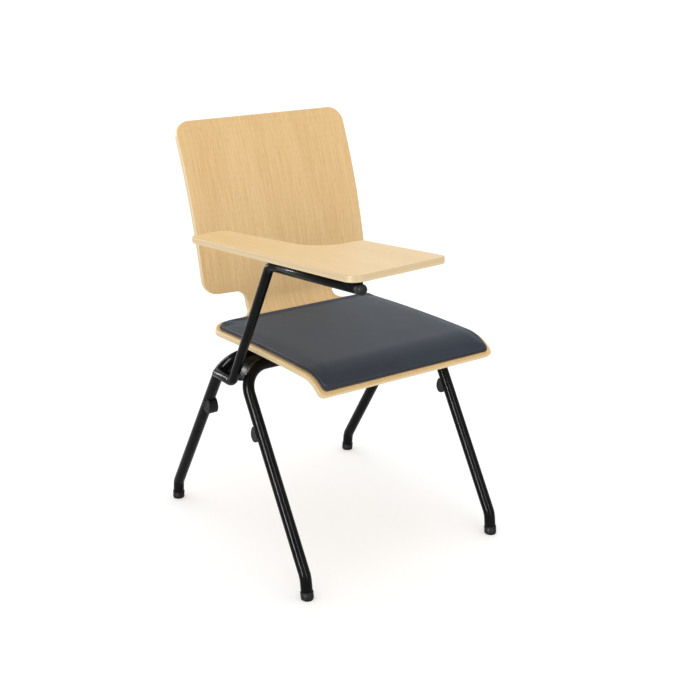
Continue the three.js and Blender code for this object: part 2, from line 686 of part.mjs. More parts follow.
function addHinge() {
  const sleeve = onSpindle([
    [HINGE_BORE_R, HINGE_START], [HINGE_R, HINGE_START], [HINGE_R, HINGE_END], [HINGE_BORE_R, HINGE_END],
  ]);
  addPiece('hinge_tube', shape([sleeve], [stopSlot()]), powderCoat, tabletFrame);
  const high = TABLET_LOW - GAP;
  const low = high - HINGE_PLATE.thickness;
  for (const [end, along] of [['rear', HINGE_PLATE_ALONG[0]], ['front', HINGE_PLATE_ALONG[1]]]) {
    const half = HINGE_PLATE.width / 2;
    const plate = box([HINGE_PLATE.outer, -along - half, low], [HINGE_PLATE.inner, -along + half, high]);
    // A saddle under the plate sits on the hinge tube.
    const saddle = box([SADDLE.outer, -along - half, SADDLE.low], [SADDLE.inner, -along + half, low + 1]);
    const tubeCutter = rod(onHinge(along - half - 5), onHinge(along + half + 5), HINGE_R + GAP, 24);
    const holes = TABLET_SCREW_ACROSS.map((inwards) => rod(
      onHinge(along, inwards, low - 5), onHinge(along, inwards, high + 5), TABLET_SCREW_R + GAP, 12,
    ));
    addPiece(`hinge_plate_${end}`, shape([plate, saddle], [tubeCutter, ...holes]), powderCoat, tabletFrame);
    TABLET_SCREW_ACROSS.forEach((inwards, i) => {
      const headHigh = low - GAP;
      const screw = turned([
        [0, headHigh - 2.2], [4, headHigh - 1.6], [4, headHigh], [TABLET_SCREW_R, headHigh],
        [TABLET_SCREW_R, TABLET_LOW + TABLET_SCREW_DEPTH - 2], [0, TABLET_LOW + TABLET_SCREW_DEPTH],
      ], 14);
      const name = `tablet_screw_${end}_${i === 0 ? 'outer' : 'inner'}`;
      addPiece(name, screw.translate(inwards, -along, 0), steel, tabletFrame);
    });
  }
}

/** The tablet's outline: wide in front of the sitter, narrow beside the elbow. */
function tabletOutline() {
  const outline = new THREE.Shape();
  const right = Math.PI / 2;
  outline.moveTo(-20, -TABLET_FRONT + 26);
  outline.absarc(6, -TABLET_FRONT + 26, 26, Math.PI, 3 * right, false);
  outline.absarc(180, -TABLET_FRONT + 17, 17, -right, 0, false);
  outline.absarc(174.5, -54, 12, 0, right, false);
  outline.absarc(151, 31, 72, -right, -Math.PI, true);
  outline.absarc(36, TABLET_REAR - 28, 28, 0, right, false);
  outline.absarc(-2, TABLET_REAR - 22, 22, right, Math.PI, false);
  return outline;
}

function addTablet() {
  const board = new THREE.ExtrudeGeometry(tabletOutline(), {
    depth: TABLET_THICKNESS, curveSegments: 12, bevelEnabled: false,
  });
  board.translate(0, 0, TABLET_LOW);
  const holes = HINGE_PLATE_ALONG.flatMap((along) => TABLET_SCREW_ACROSS.map((inwards) => rod(
    onHinge(along, inwards, TABLET_LOW - 5),
    onHinge(along, inwards, TABLET_LOW + TABLET_SCREW_DEPTH + GAP), TABLET_SCREW_R + GAP, 12,
  )));
  addPiece('tablet_board', shape([board], holes), paleBeech, tabletFrame);
}

// ---------------------------------------------------------------- assembly

addFrames();
addFeetAndBuffers();
addWebs();
addShellAndPad();
addMountingPlates();
addShellFixings();
addArm();
addSpindleAndBushes();
addHinge();
addTablet();

chair.updateMatrixWorld(true);
const middle = new THREE.Box3().setFromObject(chair, true).getCenter(new THREE.Vector3());
chair.position.set(-middle.x, -middle.y, 0);

export default chair;
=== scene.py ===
"""Looks of a student desk chair: tube leg frames, a bent plywood shell, a seat pad and a hinged tablet.

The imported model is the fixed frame. Each sub-assembly below is a class that builds its finished pieces
round that frame. Drawing sizes are millimetres from the middle of the front feet, and finished pieces
are metres in the frame's own axes: +Z is up, -Y is the front and +X is the sitter's left.
"""

import json
import logging
import math
from dataclasses import dataclass, field
from enum import Enum
from typing import Callable, Iterable, Sequence

import bmesh
import bpy
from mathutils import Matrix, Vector


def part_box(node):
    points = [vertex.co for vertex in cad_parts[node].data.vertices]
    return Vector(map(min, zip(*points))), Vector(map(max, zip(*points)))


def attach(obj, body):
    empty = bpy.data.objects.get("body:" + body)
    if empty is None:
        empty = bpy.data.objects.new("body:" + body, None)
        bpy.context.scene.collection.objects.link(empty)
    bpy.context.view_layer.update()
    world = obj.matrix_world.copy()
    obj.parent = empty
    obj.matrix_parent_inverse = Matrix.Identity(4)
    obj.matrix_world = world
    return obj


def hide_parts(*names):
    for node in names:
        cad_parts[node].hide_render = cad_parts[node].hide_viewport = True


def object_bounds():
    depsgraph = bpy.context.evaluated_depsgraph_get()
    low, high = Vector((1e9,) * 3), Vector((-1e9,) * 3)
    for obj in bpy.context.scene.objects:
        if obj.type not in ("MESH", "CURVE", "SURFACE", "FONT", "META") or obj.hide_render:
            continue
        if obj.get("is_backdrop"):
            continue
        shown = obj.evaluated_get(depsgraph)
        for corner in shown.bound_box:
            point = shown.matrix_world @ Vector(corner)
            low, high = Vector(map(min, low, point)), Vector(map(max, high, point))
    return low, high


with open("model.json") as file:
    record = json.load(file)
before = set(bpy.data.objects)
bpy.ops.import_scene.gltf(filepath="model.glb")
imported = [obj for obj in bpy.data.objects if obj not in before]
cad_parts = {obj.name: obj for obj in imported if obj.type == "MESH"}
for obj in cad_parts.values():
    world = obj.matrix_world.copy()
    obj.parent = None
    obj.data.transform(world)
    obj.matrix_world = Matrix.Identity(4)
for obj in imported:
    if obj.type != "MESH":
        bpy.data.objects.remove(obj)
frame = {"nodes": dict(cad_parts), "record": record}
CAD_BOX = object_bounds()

LOG = logging.getLogger("chair")
MM = 0.001

Colour = tuple[float, float, float]
Place = Callable[[Vector], Vector]


class Body(Enum):
    """The rigid bodies that pieces ride on."""

    CHAIR = "chair"
    TABLET = "tablet"


class Hand(Enum):
    """The sitter's right or left, as the sign of X."""

    RIGHT = -1
    LEFT = 1


class End(Enum):
    """The front or the rear of the chair."""

    FRONT = "front"
    REAR = "rear"


class Slot(Enum):
    """The record's material slots."""

    POWDER_COAT = "powder_coat"
    BLACK_PLASTIC = "black_plastic"
    STEEL = "steel"
    SHELL_BEECH = "shell_beech"
    TABLET_BEECH = "tablet_beech"
    PAD_CLOTH = "pad_cloth"


# ---------------------------------------------------------------- drawing frame


@dataclass(frozen=True)
class Datum:
    """Where the drawing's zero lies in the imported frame."""

    plate_front: float = 201.0

    def zero(self) -> Vector:
        """Middle of the front feet on the floor, in metres."""
        low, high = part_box("front_leg_frame")
        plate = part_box("mounting_plate_right")[0]
        return Vector(((low.x + high.x) / 2, plate.y - self.plate_front * MM, 0.0))


ZERO = Datum().zero()


def placed(x: float, y: float, z: float) -> Vector:
    """Turns a drawing place, in millimetres left, rearwards and up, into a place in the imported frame."""
    return ZERO + Vector((x, y, z)) * MM


def linear(red: int, green: int, blue: int) -> Colour:
    """Turns a colour chart's 0 to 255 values into linear light.

    Args:
        red: red value.
        green: green value.
        blue: blue value.

    Returns:
        The linear colour.
    """
    low = 0.04045
    values = [channel / 255 for channel in (red, green, blue)]
    return tuple(v / 12.92 if v <= low else ((v + 0.055) / 1.055) ** 2.4 for v in values)


# ---------------------------------------------------------------- finishes


class NodeSheet:
    """A material's node tree, with short calls to add and join its nodes."""

    def __init__(self, name: str) -> None:
        """Starts a material with its main shader.

        Args:
            name: the material's name.
        """
        self.material = bpy.data.materials.new(name)
        self.material.use_nodes = True
        self.tree = self.material.node_tree
        self.shader = self.tree.nodes["Principled BSDF"]

    def node(self, kind: str, **sockets: object) -> bpy.types.Node:
        """Adds a node.

        Args:
            kind: the node's type, without its ShaderNode prefix.
            **sockets: input names, with spaces as underscores, and their values.

        Returns:
            The new node.
        """
        made = self.tree.nodes.new(f"ShaderNode{kind}")
        for name, value in sockets.items():
            made.inputs[name.replace("_", " ")].default_value = value
        return made

    def join(self, source: bpy.types.NodeSocket, target: bpy.types.NodeSocket) -> None:
        """Links an output to an input."""
        self.tree.links.new(source, target)

    def place(self) -> bpy.types.NodeSocket:
        """Place on the piece, in metres."""
        return self.node("TexCoord").outputs["Object"]

    def blank(self) -> bpy.types.NodeSocket:
        """Place on a sheet's flat blank, in metres: across, along and through."""
        made = self.node("Attribute")
        made.attribute_name = "blank"
        return made.outputs["Vector"]

    def noise(
        self, where: bpy.types.NodeSocket, scale: Sequence[float], detail: float = 2.0, turn: float = 0.0
    ) -> bpy.types.NodeSocket:
        """A noise whose cells have a size of their own along each axis.

        Args:
            where: the place it is read at.
            scale: cells in a metre along each axis.
            detail: octaves.
            turn: offset that keeps one noise from lining up with another.

        Returns:
            The noise, from 0 to 1.
        """
        mapping = self.node("Mapping", Scale=tuple(scale), Location=(turn, 0.7 * turn, 0.0))
        self.join(where, mapping.inputs["Vector"])
        made = self.node("TexNoise", Scale=1.0, Detail=detail)
        self.join(mapping.outputs["Vector"], made.inputs["Vector"])
        return made.outputs["Fac"]

    def ramp(
        self, source: bpy.types.NodeSocket, stops: Sequence[tuple[float, Colour]]
    ) -> bpy.types.NodeSocket:
        """Turns a value into a colour.

        Args:
            source: the value.
            stops: places from 0 to 1 and their colours.

        Returns:
            The colour.
        """
        made = self.node("ValToRGB")
        band = made.color_ramp
        while len(band.elements) < len(stops):
            band.elements.new(0.5)
        for element, (where, colour) in zip(band.elements, stops):
            element.position = where
            element.color = (*colour, 1.0)
        self.join(source, made.inputs["Fac"])
        return made.outputs["Color"]

    def spread(self, source: bpy.types.NodeSocket, low: float, high: float) -> bpy.types.NodeSocket:
        """Stretches the middle of a noise over a range.

        Args:
            source: the noise.
            low: value at the noise's low end.
            high: value at its high end.

        Returns:
            The stretched value.
        """
        made = self.node("MapRange", From_Min=0.3, From_Max=0.7, To_Min=low, To_Max=high)
        self.join(source, made.inputs["Value"])
        return made.outputs["Result"]

    def blend(
        self, kind: str, amount: float, first: bpy.types.NodeSocket, second: bpy.types.NodeSocket
    ) -> bpy.types.NodeSocket:
        """Mixes two colours.

        Args:
            kind: how they mix, such as MULTIPLY.
            amount: share of the second colour.
            first: the first colour.
            second: the second colour.

        Returns:
            The mixed colour.
        """
        made = self.tree.nodes.new("ShaderNodeMix")
        made.data_type = "RGBA"
        made.blend_type = kind
        factor = next(s for s in made.inputs if s.identifier == "Factor_Float")
        factor.default_value = amount
        self.join(first, next(s for s in made.inputs if s.identifier == "A_Color"))
        self.join(second, next(s for s in made.inputs if s.identifier == "B_Color"))
        return next(s for s in made.outputs if s.identifier == "Result_Color")

    def bump(self, height: bpy.types.NodeSocket, strength: float, depth: float) -> None:
        """Gives the shader a relief.

        Args:
            height: the relief, from 0 to 1.
            strength: share of the relief that shows.
            depth: its full depth in metres.
        """
        made = self.node("Bump", Strength=strength, Distance=depth)
        self.join(height, made.inputs["Height"])
        self.join(made.outputs["Normal"], self.shader.inputs["Normal"])

    def surface(
        self, tint: bpy.types.NodeSocket, gloss: bpy.types.NodeSocket, ends: tuple[float, float],
        tones: Sequence[Colour], roughness: tuple[float, float],
    ) -> None:
        """Gives the shader two tones that follow the tint, and a roughness that follows the gloss."""
        self.join(self.ramp(tint, list(zip(ends, tones))), self.shader.inputs["Base Color"])
        self.join(self.spread(gloss, *roughness), self.shader.inputs["Roughness"])

    def set(self, **sockets: object) -> None:
        """Sets the shader's own values, with underscores for spaces."""
        for name, value in sockets.items():
            self.shader.inputs[name.replace("_", " ")].default_value = value


@dataclass(frozen=True)
class Mottled:
    """A plain finish: two close tones that drift over it, a gloss that follows them, and a fine grain."""

    name: str
    tones: tuple[Colour, Colour]
    cells: float
    roughness: tuple[float, float]
    grain: tuple[float, float, float]
    grain_detail: float
    grain_turn: float
    relief: tuple[float, float]
    detail: float = 3.0
    specular: float = 0.5
    metallic: float = 0.0

    def build(self) -> bpy.types.Material:
        """Makes the material."""
        sheet = NodeSheet(self.name)
        where = sheet.place()
        drift = sheet.noise(where, [self.cells] * 3, self.detail)
        sheet.surface(drift, drift, (0.3, 0.7), self.tones, self.roughness)
        sheet.bump(sheet.noise(where, self.grain, self.grain_detail, self.grain_turn), *self.relief)
        sheet.set(Specular_IOR_Level=self.specular, Metallic=self.metallic)
        return sheet.material


@dataclass(frozen=True)
class Veneer:
    """Lacquered veneer: broad tonal bands, fine streaks and short dark pores along the blank."""

    name: str
    dark: Colour
    middle: Colour
    light: Colour
    pore: Colour
    band: float = 0.42
    pore_share: float = 0.3
    roughness: tuple[float, float] = (0.36, 0.46)
    band_cells: tuple[float, float, float] = (17.0, 0.9, 1.0)
    streak_cells: tuple[float, float, float] = (300.0, 6.0, 1.0)
    line_cells: tuple[float, float, float] = (900.0, 16.0, 1.0)
    pore_cells: tuple[float, float, float] = (1150.0, 70.0, 1.0)

    def build(self) -> bpy.types.Material:
        """Makes the material."""
        sheet = NodeSheet(self.name)
        where = sheet.blank()
        bands = sheet.noise(where, self.band_cells, 2.0)
        streaks = sheet.noise(where, self.streak_cells, 3.0, 4.3)
        lines = sheet.noise(where, self.line_cells, 2.0, 9.1)
        mixed = sheet.blend("MIX", self.band, streaks, bands)
        mixed = sheet.blend("MIX", 0.38, mixed, lines)
        tone = sheet.ramp(mixed, [(0.36, self.dark), (0.5, self.middle), (0.64, self.light)])
        dashes = sheet.noise(where, self.pore_cells, 1.0, 6.2)
        white = (1.0, 1.0, 1.0)
        pores = sheet.ramp(dashes, [(0.28, self.pore), (0.4, white)])
        colour = sheet.blend("MULTIPLY", self.pore_share, tone, pores)
        sheet.join(colour, sheet.shader.inputs["Base Color"])
        sheet.join(sheet.spread(streaks, *self.roughness), sheet.shader.inputs["Roughness"])
        sheet.bump(mixed, 0.1, 0.0002)
        sheet.set(Specular_IOR_Level=0.4)
        return sheet.material


@dataclass(frozen=True)
class PlyEdge:
    """The edge of a pressed sheet: plies that alternate between end grain and long grain."""

    name: str
    end_grain: Colour
    long_grain: Colour
    ply: float = 1.22

    def build(self) -> bpy.types.Material:
        """Makes the material."""
        sheet = NodeSheet(self.name)
        where = sheet.blank()
        split = sheet.node("SeparateXYZ")
        sheet.join(where, split.inputs["Vector"])
        wave = sheet.node("Math")
        wave.operation = "MULTIPLY"
        wave.inputs[1].default_value = math.pi / (self.ply * MM)
        sheet.join(split.outputs["Z"], wave.inputs[0])
        sine = sheet.node("Math")
        sine.operation = "SINE"
        sheet.join(wave.outputs[0], sine.inputs[0])
        plies = sheet.node("MapRange", From_Min=-1.0, From_Max=1.0, To_Min=0.2, To_Max=0.8)
        sheet.join(sine.outputs[0], plies.inputs["Value"])
        fibres = sheet.noise(where, (420.0, 420.0, 2600.0), 3.0)
        mixed = sheet.blend("MIX", 0.5, plies.outputs["Result"], fibres)
        sheet.surface(mixed, fibres, (0.35, 0.65), (self.end_grain, self.long_grain), (0.42, 0.56))
        sheet.bump(mixed, 0.12, 0.0002)
        return sheet.material


@dataclass(frozen=True)
class Upholstery:
    """Smooth close-woven cover: a fine thread relief, soft mottling and a cool sheen."""

    name: str = "pad_cover"
    deep: Colour = linear(37, 42, 52)
    pale: Colour = linear(41, 46, 56)
    fuzz: Colour = (0.74, 0.88, 1.0)
    thread: float = 0.62

    def build(self) -> bpy.types.Material:
        """Makes the material."""
        sheet = NodeSheet(self.name)
        where = sheet.blank()
        mottle = sheet.noise(where, (26.0, 26.0, 26.0), 3.0)
        speck = sheet.noise(where, (900.0, 900.0, 900.0), 2.0, 2.2)
        mixed = sheet.blend("MIX", 0.45, mottle, speck)
        sheet.surface(mixed, mottle, (0.38, 0.62), (self.deep, self.pale), (0.56, 0.64))
        ribs = []
        for axis in ("X", "Y"):
            wave = sheet.node("TexWave", Scale=math.tau / (self.thread * MM) / 20, Distortion=0.6)
            wave.inputs["Detail"].default_value = 1.0
            wave.bands_direction = axis
            sheet.join(where, wave.inputs["Vector"])
            ribs.append(wave.outputs["Color"])
        sheet.bump(sheet.blend("MULTIPLY", 1.0, *ribs), 0.16, 0.00015)
        sheet.set(Specular_IOR_Level=0.14, Sheen_Weight=0.2, Sheen_Roughness=0.5)
        sheet.set(Sheen_Tint=(*self.fuzz, 1.0))
        return sheet.material


@dataclass(frozen=True)
class JointLineAndShade:
    """The tablet's dark joint line, and the near-black band under the pad's edge, which is partly the cover
    turned under there and partly painted shade.
    """

    name: str
    deep: Colour
    pale: Colour

    def build(self) -> bpy.types.Material:
        """Makes the material."""
        sheet = NodeSheet(self.name)
        fibre = sheet.noise(sheet.place(), [700.0] * 3, 3.0)
        sheet.surface(fibre, fibre, (0.35, 0.65), (self.deep, self.pale), (0.7, 0.85))
        sheet.bump(fibre, 0.2, 0.0002)
        return sheet.material


COAT = Mottled(
    "black_powder_coat", tones=((0.003, 0.003, 0.0032), (0.0055, 0.0055, 0.0058)), cells=22.0,
    roughness=(0.18, 0.24), specular=0.06,
    grain=(520.0, 520.0, 520.0), grain_detail=1.0, grain_turn=3.1, relief=(0.12, 0.0002),
).build()
PLASTIC = Mottled(
    "moulded_black_plastic", tones=((0.004, 0.004, 0.0042), (0.008, 0.008, 0.0082)), cells=60.0,
    roughness=(0.42, 0.56), specular=0.14,
    grain=(1400.0, 1400.0, 1400.0), grain_detail=2.0, grain_turn=1.7, relief=(0.25, 0.0001),
).build()
BUSHING = Mottled(
    "bush_acetal", tones=((0.008, 0.008, 0.008), (0.013, 0.013, 0.0134)), cells=60.0,
    roughness=(0.3, 0.4), specular=0.14,
    grain=(1800.0, 1800.0, 1800.0), grain_detail=2.0, grain_turn=1.7, relief=(0.25, 0.0001),
).build()
STEEL = Mottled(
    "zinc_plated_steel", tones=((0.36, 0.37, 0.38), (0.62, 0.63, 0.64)), cells=240.0, detail=4.0,
    roughness=(0.26, 0.44), metallic=1.0,
    grain=(1500.0, 1500.0, 4000.0), grain_detail=1.0, grain_turn=0.0, relief=(0.15, 0.0001),
).build()
SHELL_FACE = Veneer(
    "shell_veneer",
    dark=linear(212, 172, 114), middle=linear(223, 186, 128), light=linear(233, 198, 143),
    pore=linear(168, 126, 79),
).build()
SHELL_EDGE = PlyEdge("shell_ply_edge", linear(211, 183, 134), linear(221, 198, 152)).build()
TABLET_FACE = Veneer(
    "tablet_veneer",
    dark=linear(222, 188, 134), middle=linear(229, 197, 144), light=linear(236, 206, 157),
    pore=linear(196, 158, 110), band=0.35, pore_share=0.16, roughness=(0.33, 0.4),
).build()
TABLET_EDGE = PlyEdge("tablet_edge_band", linear(206, 180, 135), linear(214, 190, 147), 6.0).build()
TABLET_SEAM = JointLineAndShade("tablet_joint_line", linear(150, 122, 84), linear(176, 146, 104)).build()
PAD_COVER = Upholstery().build()
# Near black: partly the cover turned under the pad's edge, partly painted shade of the gap between the pad
# and the shell.
PAD_SHADED_UNDERSIDE = JointLineAndShade("pad_hem", linear(14, 14, 16), linear(24, 24, 27)).build()


# ---------------------------------------------------------------- mesh making


def make_object(
    name: str, corners: Sequence[Vector], faces: Sequence[Sequence[int]], *materials: bpy.types.Material
) -> bpy.types.Object:
    """Makes a smooth-shaded mesh object.

    Args:
        name: the piece's name.
        corners: its vertices.
        faces: its faces, as vertex numbers.
        *materials: its materials.

    Returns:
        The object.
    """
    mesh = bpy.data.meshes.new(name)
    mesh.from_pydata([tuple(point) for point in corners], [], [tuple(face) for face in faces])
    return finish_mesh(name, mesh, materials)


def finish_mesh(
    name: str, mesh: bpy.types.Mesh, materials: Iterable[bpy.types.Material], sharp: float = 40.0
) -> bpy.types.Object:
    """Orients, shades and links a mesh.

    Args:
        name: the piece's name.
        mesh: its mesh.
        materials: its materials.
        sharp: angle in degrees over which an edge stays sharp.

    Returns:
        The object.
    """
    turned = bmesh.new()
    turned.from_mesh(mesh)
    bmesh.ops.recalc_face_normals(turned, faces=turned.faces[:])
    turned.to_mesh(mesh)
    turned.free()
    for material in materials:
        mesh.materials.append(material)
    mesh.shade_smooth()
    mesh.set_sharp_from_angle(angle=math.radians(sharp))
    made = bpy.data.objects.new(name, mesh)
    bpy.context.scene.collection.objects.link(made)
    return made


def settle(piece: bpy.types.Object, body: Body, slot: Slot, *nodes: str) -> None:
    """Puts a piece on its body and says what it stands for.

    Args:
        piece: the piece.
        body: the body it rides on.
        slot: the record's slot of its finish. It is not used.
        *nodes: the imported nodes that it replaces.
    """
    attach(piece, body.value)
    if nodes:
        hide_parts(*nodes)
    LOG.info("%s rides on %s and stands for %s", piece.name, body.value, ", ".join(nodes) or "itself")


def dress(node: str, material: bpy.types.Material, ease: float = 0.35) -> None:
    """Gives a carried-over node its finish, with its edges eased.

    Args:
        node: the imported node's name.
        material: its finish.
        ease: width of its eased edges in millimetres.
    """
    carried = frame["nodes"][node]
    carried.data.materials.clear()
    carried.data.materials.append(material)
    bevel = carried.modifiers.new("eased_edges", "BEVEL")
    bevel.width = ease * MM
    bevel.segments = 2
    bevel.limit_method = "ANGLE"
    bevel.angle_limit = math.radians(40)
    bevel.harden_normals = False
    LOG.info("%s is carried over in %s", node, material.name)


def rounded_route(corners: Sequence[Vector], radii: Sequence[float], step: float = 4.0) -> list[Vector]:
    """A route along straight runs, with a round bend at each inner corner.

    Args:
        corners: the corners.
        radii: bend radius at each inner corner.
        step: degrees between the bend's points.

    Returns:
        The route's points.
    """
    route = [corners[0]]
    for before, corner, after, radius in zip(corners, corners[1:], corners[2:], radii):
        back = (before - corner).normalized()
        ahead = (after - corner).normalized()
        turn = math.pi - back.angle(ahead)
        start = corner + back * radius * math.tan(turn / 2)
        centre = corner + (back + ahead).normalized() * radius / math.cos(turn / 2)
        spoke = start - centre
        steps = max(3, round(math.degrees(turn) / step))
        for k in range(steps + 1):
            angle = turn * k / steps
            route.append(centre + spoke * math.cos(angle) - back * radius * math.sin(angle))
    route.append(corners[-1])
    return route


def sweep(
    name: str,
    route: Sequence[Vector],
    radius: float | Sequence[float],
    material: bpy.types.Material,
    sides: int = 40,
    bore: float = 0.0,
) -> bpy.types.Object:
    """A round bar or tube along a route.

    Args:
        name: the piece's name.
        route: points of its centre line, in metres.
        radius: its outer radius in metres, or one radius for each point.
        material: its finish.
        sides: faces round it.
        bore: radius of its bore in metres, or 0 for a bar.

    Returns:
        The piece.
    """
    count = len(route)
    radii = [radius] * count if isinstance(radius, float) else radius
    ahead, behind = [*route[1:], route[-1]], [route[0], *route[:-1]]
    tangents = [(after - before).normalized() for after, before in zip(ahead, behind)]
    side = tangents[0].orthogonal().normalized()
    corners: list[Vector] = []
    layers = [radii] if bore == 0.0 else [radii, [bore] * count]
    frames = []
    for i in range(count):
        if i:
            side = tangents[i - 1].rotation_difference(tangents[i]) @ side
        side = (side - tangents[i] * side.dot(tangents[i])).normalized()
        frames.append((side.copy(), tangents[i].cross(side)))
    for layer in layers:
        for point, (across, up), reach in zip(route, frames, layer):
            for k in range(sides):
                angle = math.tau * k / sides
                corners.append(point + (across * math.cos(angle) + up * math.sin(angle)) * reach)
    around = [(k, (k + 1) % sides) for k in range(sides)]
    inner = count * sides
    last = inner - sides
    faces: list[Sequence[int]] = []
    for base in range(0, len(corners), inner):
        for a in range(base, base + last, sides):
            faces += [(a + k, a + n, a + sides + n, a + sides + k) for k, n in around]
    for ring in (0, last):
        if bore == 0.0:
            faces.append(range(ring, ring + sides))
        else:
            faces += [(ring + k, ring + n, inner + ring + n, inner + ring + k) for k, n in around]
    return make_object(name, corners, faces, material)


def turned(
    name: str,
    profile: Sequence[tuple[float, float]],
    place: Place,
    material: bpy.types.Material,
    sides: int = 48,
    socket_rings: int = 0,
) -> bpy.types.Object:
    """A turned piece about a line. Its profile runs from one end of the axis to the other.

    Args:
        name: the piece's name.
        profile: (radius, distance along) in millimetres; it closes on itself if it starts off the axis.
        place: turns a local place in millimetres into metres.
        material: its finish.
        sides: faces round it.
        socket_rings: how many rings at the profile's end are hexagons.

    Returns:
        The piece.
    """
    corners: list[Vector] = []
    faces: list[Sequence[int]] = []
    ring_of: list[list[int]] = []
    hexagons_from = len(profile) - socket_rings - 1
    for number, (radius, along) in enumerate(profile):
        if radius < 1e-6:
            corners.append(place(Vector((0, 0, along))))
            ring_of.append([len(corners) - 1] * sides)
            continue
        ring = []
        for k in range(sides):
            angle = math.tau * k / sides
            reach = radius
            if socket_rings and number >= hexagons_from:
                reach = radius * math.cos(math.pi / 6) / math.cos((angle % (math.pi / 3)) - math.pi / 6)
            corners.append(place(Vector((reach * math.cos(angle), reach * math.sin(angle), along))))
            ring.append(len(corners) - 1)
        ring_of.append(ring)
    pairs = list(zip(ring_of, ring_of[1:]))
    if profile[0][0] > 1e-6:
        pairs.append((ring_of[-1], ring_of[0]))
    for first, second in pairs:
        for k in range(sides):
            loop = [first[k], first[(k + 1) % sides], second[(k + 1) % sides], second[k]]
            faces.append(list(dict.fromkeys(loop)))
    return make_object(name, corners, faces, material)


def arc(
    x: float, y: float, radius: float, start: float, end: float, steps: int = 12
) -> list[tuple[float, float]]:
    """Points of a round corner about x, y, from one angle in degrees to another."""
    angles = [math.radians(start + (end - start) * k / steps) for k in range(steps + 1)]
    return [(x + radius * math.cos(a), y + radius * math.sin(a)) for a in angles]


@dataclass(frozen=True)
class Sheet:
    """A sheet cut to a flat outline, with eased edges, and then bent into place."""

    outline: Sequence[tuple[float, float]]
    low: float
    high: float
    ease: float
    rows: Sequence[float] = ()
    joint_line: bool = False
    weld: float = 0.02

    def blank(self) -> bmesh.types.BMesh:
        """Cuts the flat blank, in millimetres, and eases its edges."""
        made = bmesh.new()
        corners = [made.verts.new((x, y, self.low)) for x, y in self.outline]
        base = made.faces.new(corners)
        grown = bmesh.ops.extrude_face_region(made, geom=[base])
        lifted = [item for item in grown["geom"] if isinstance(item, bmesh.types.BMVert)]
        bmesh.ops.translate(made, verts=lifted, vec=(0, 0, self.high - self.low))
        bmesh.ops.recalc_face_normals(made, faces=made.faces[:])
        rim = [e for e in made.edges if {round(abs(f.normal.z)) for f in e.link_faces} == {0, 1}]
        bmesh.ops.bevel(
            made, geom=rim, offset=self.ease, offset_type="OFFSET", segments=3, profile=0.5,
            affect="EDGES", clamp_overlap=False,
        )
        for row in self.rows:
            everything = made.verts[:] + made.edges[:] + made.faces[:]
            bmesh.ops.bisect_plane(made, geom=everything, plane_co=(0, row, 0), plane_no=(0, 1, 0))
        bmesh.ops.remove_doubles(made, verts=made.verts[:], dist=self.weld)
        return made

    def build(self, name: str, place: Place, *materials: bpy.types.Material) -> bpy.types.Object:
        """Bends the blank into place.

        Args:
            name: the piece's name.
            place: turns a place on the blank, in millimetres, into metres.
            *materials: finishes of its faces, of its edge and, if it has one, of its joint line.

        Returns:
            The piece.
        """
        made = self.blank()
        made.normal_update()
        for face in made.faces:
            slant = abs(face.normal.z)
            if slant > 0.97:
                face.material_index = 0
            else:
                top = face.calc_center_median().z > (self.low + self.high) / 2
                face.material_index = 2 if self.joint_line and top and slant > 0.8 else 1
        memory = made.verts.layers.float_vector.new("blank")
        for corner in made.verts:
            corner[memory] = corner.co * MM
            corner.co = place(corner.co.copy())
        mesh = bpy.data.meshes.new(name)
        made.to_mesh(mesh)
        made.free()
        piece = finish_mesh(name, mesh, materials)
        weighted = piece.modifiers.new("even_faces", "WEIGHTED_NORMAL")
        weighted.keep_sharp = True
        return piece


def bead(
    name: str, routes: Sequence[Sequence[Vector]], radius: float, material: bpy.types.Material,
    ripple: float = 2.4,
) -> bpy.types.Object:
    """Weld beads along routes, with the ripples of a hand weld.

    Args:
        name: the piece's name.
        routes: the beads' centre lines, in metres.
        radius: their radius in millimetres.
        material: their finish.
        ripple: length of a ripple in millimetres.

    Returns:
        The beads as one piece.
    """
    pieces = []
    for number, route in enumerate(routes):
        fine: list[Vector] = [route[0]]
        for a, b in zip(route, route[1:]):
            steps = max(1, round((b - a).length / (0.5 * MM)))
            fine += [a.lerp(b, k / steps) for k in range(1, steps + 1)]
        walked = 0.0
        radii = []
        for i, point in enumerate(fine):
            walked += (point - fine[i - 1]).length / MM if i else 0.0
            fade = min(1.0, 0.35 + 0.4 * min(i, len(fine) - 1 - i))
            radii.append(radius * MM * fade * (1 + 0.16 * math.cos(math.tau * walked / ripple)))
        pieces.append(sweep(f"{name}_{number}", fine, radii, material, sides=12))
    if len(pieces) > 1:
        with bpy.context.temp_override(active_object=pieces[0], selected_editable_objects=pieces):
            bpy.ops.object.join()
    pieces[0].name = name
    return pieces[0]


# ---------------------------------------------------------------- leg frames


@dataclass(frozen=True)
class LegLine:
    """Side view of one frame's legs."""

    end: End
    foot_y: float
    knee_y: float
    knee_z: float
    lean: float

    def y_at(self, z: float) -> float:
        """Y of the centre line above the knee."""
        return self.knee_y + self.lean * (z - self.knee_z)


FRONT_LEGS = LegLine(End.FRONT, 0.0, 6.0, 45.0, 0.614)
REAR_LEGS = LegLine(End.REAR, 547.5, 542.7, 42.0, -0.641)


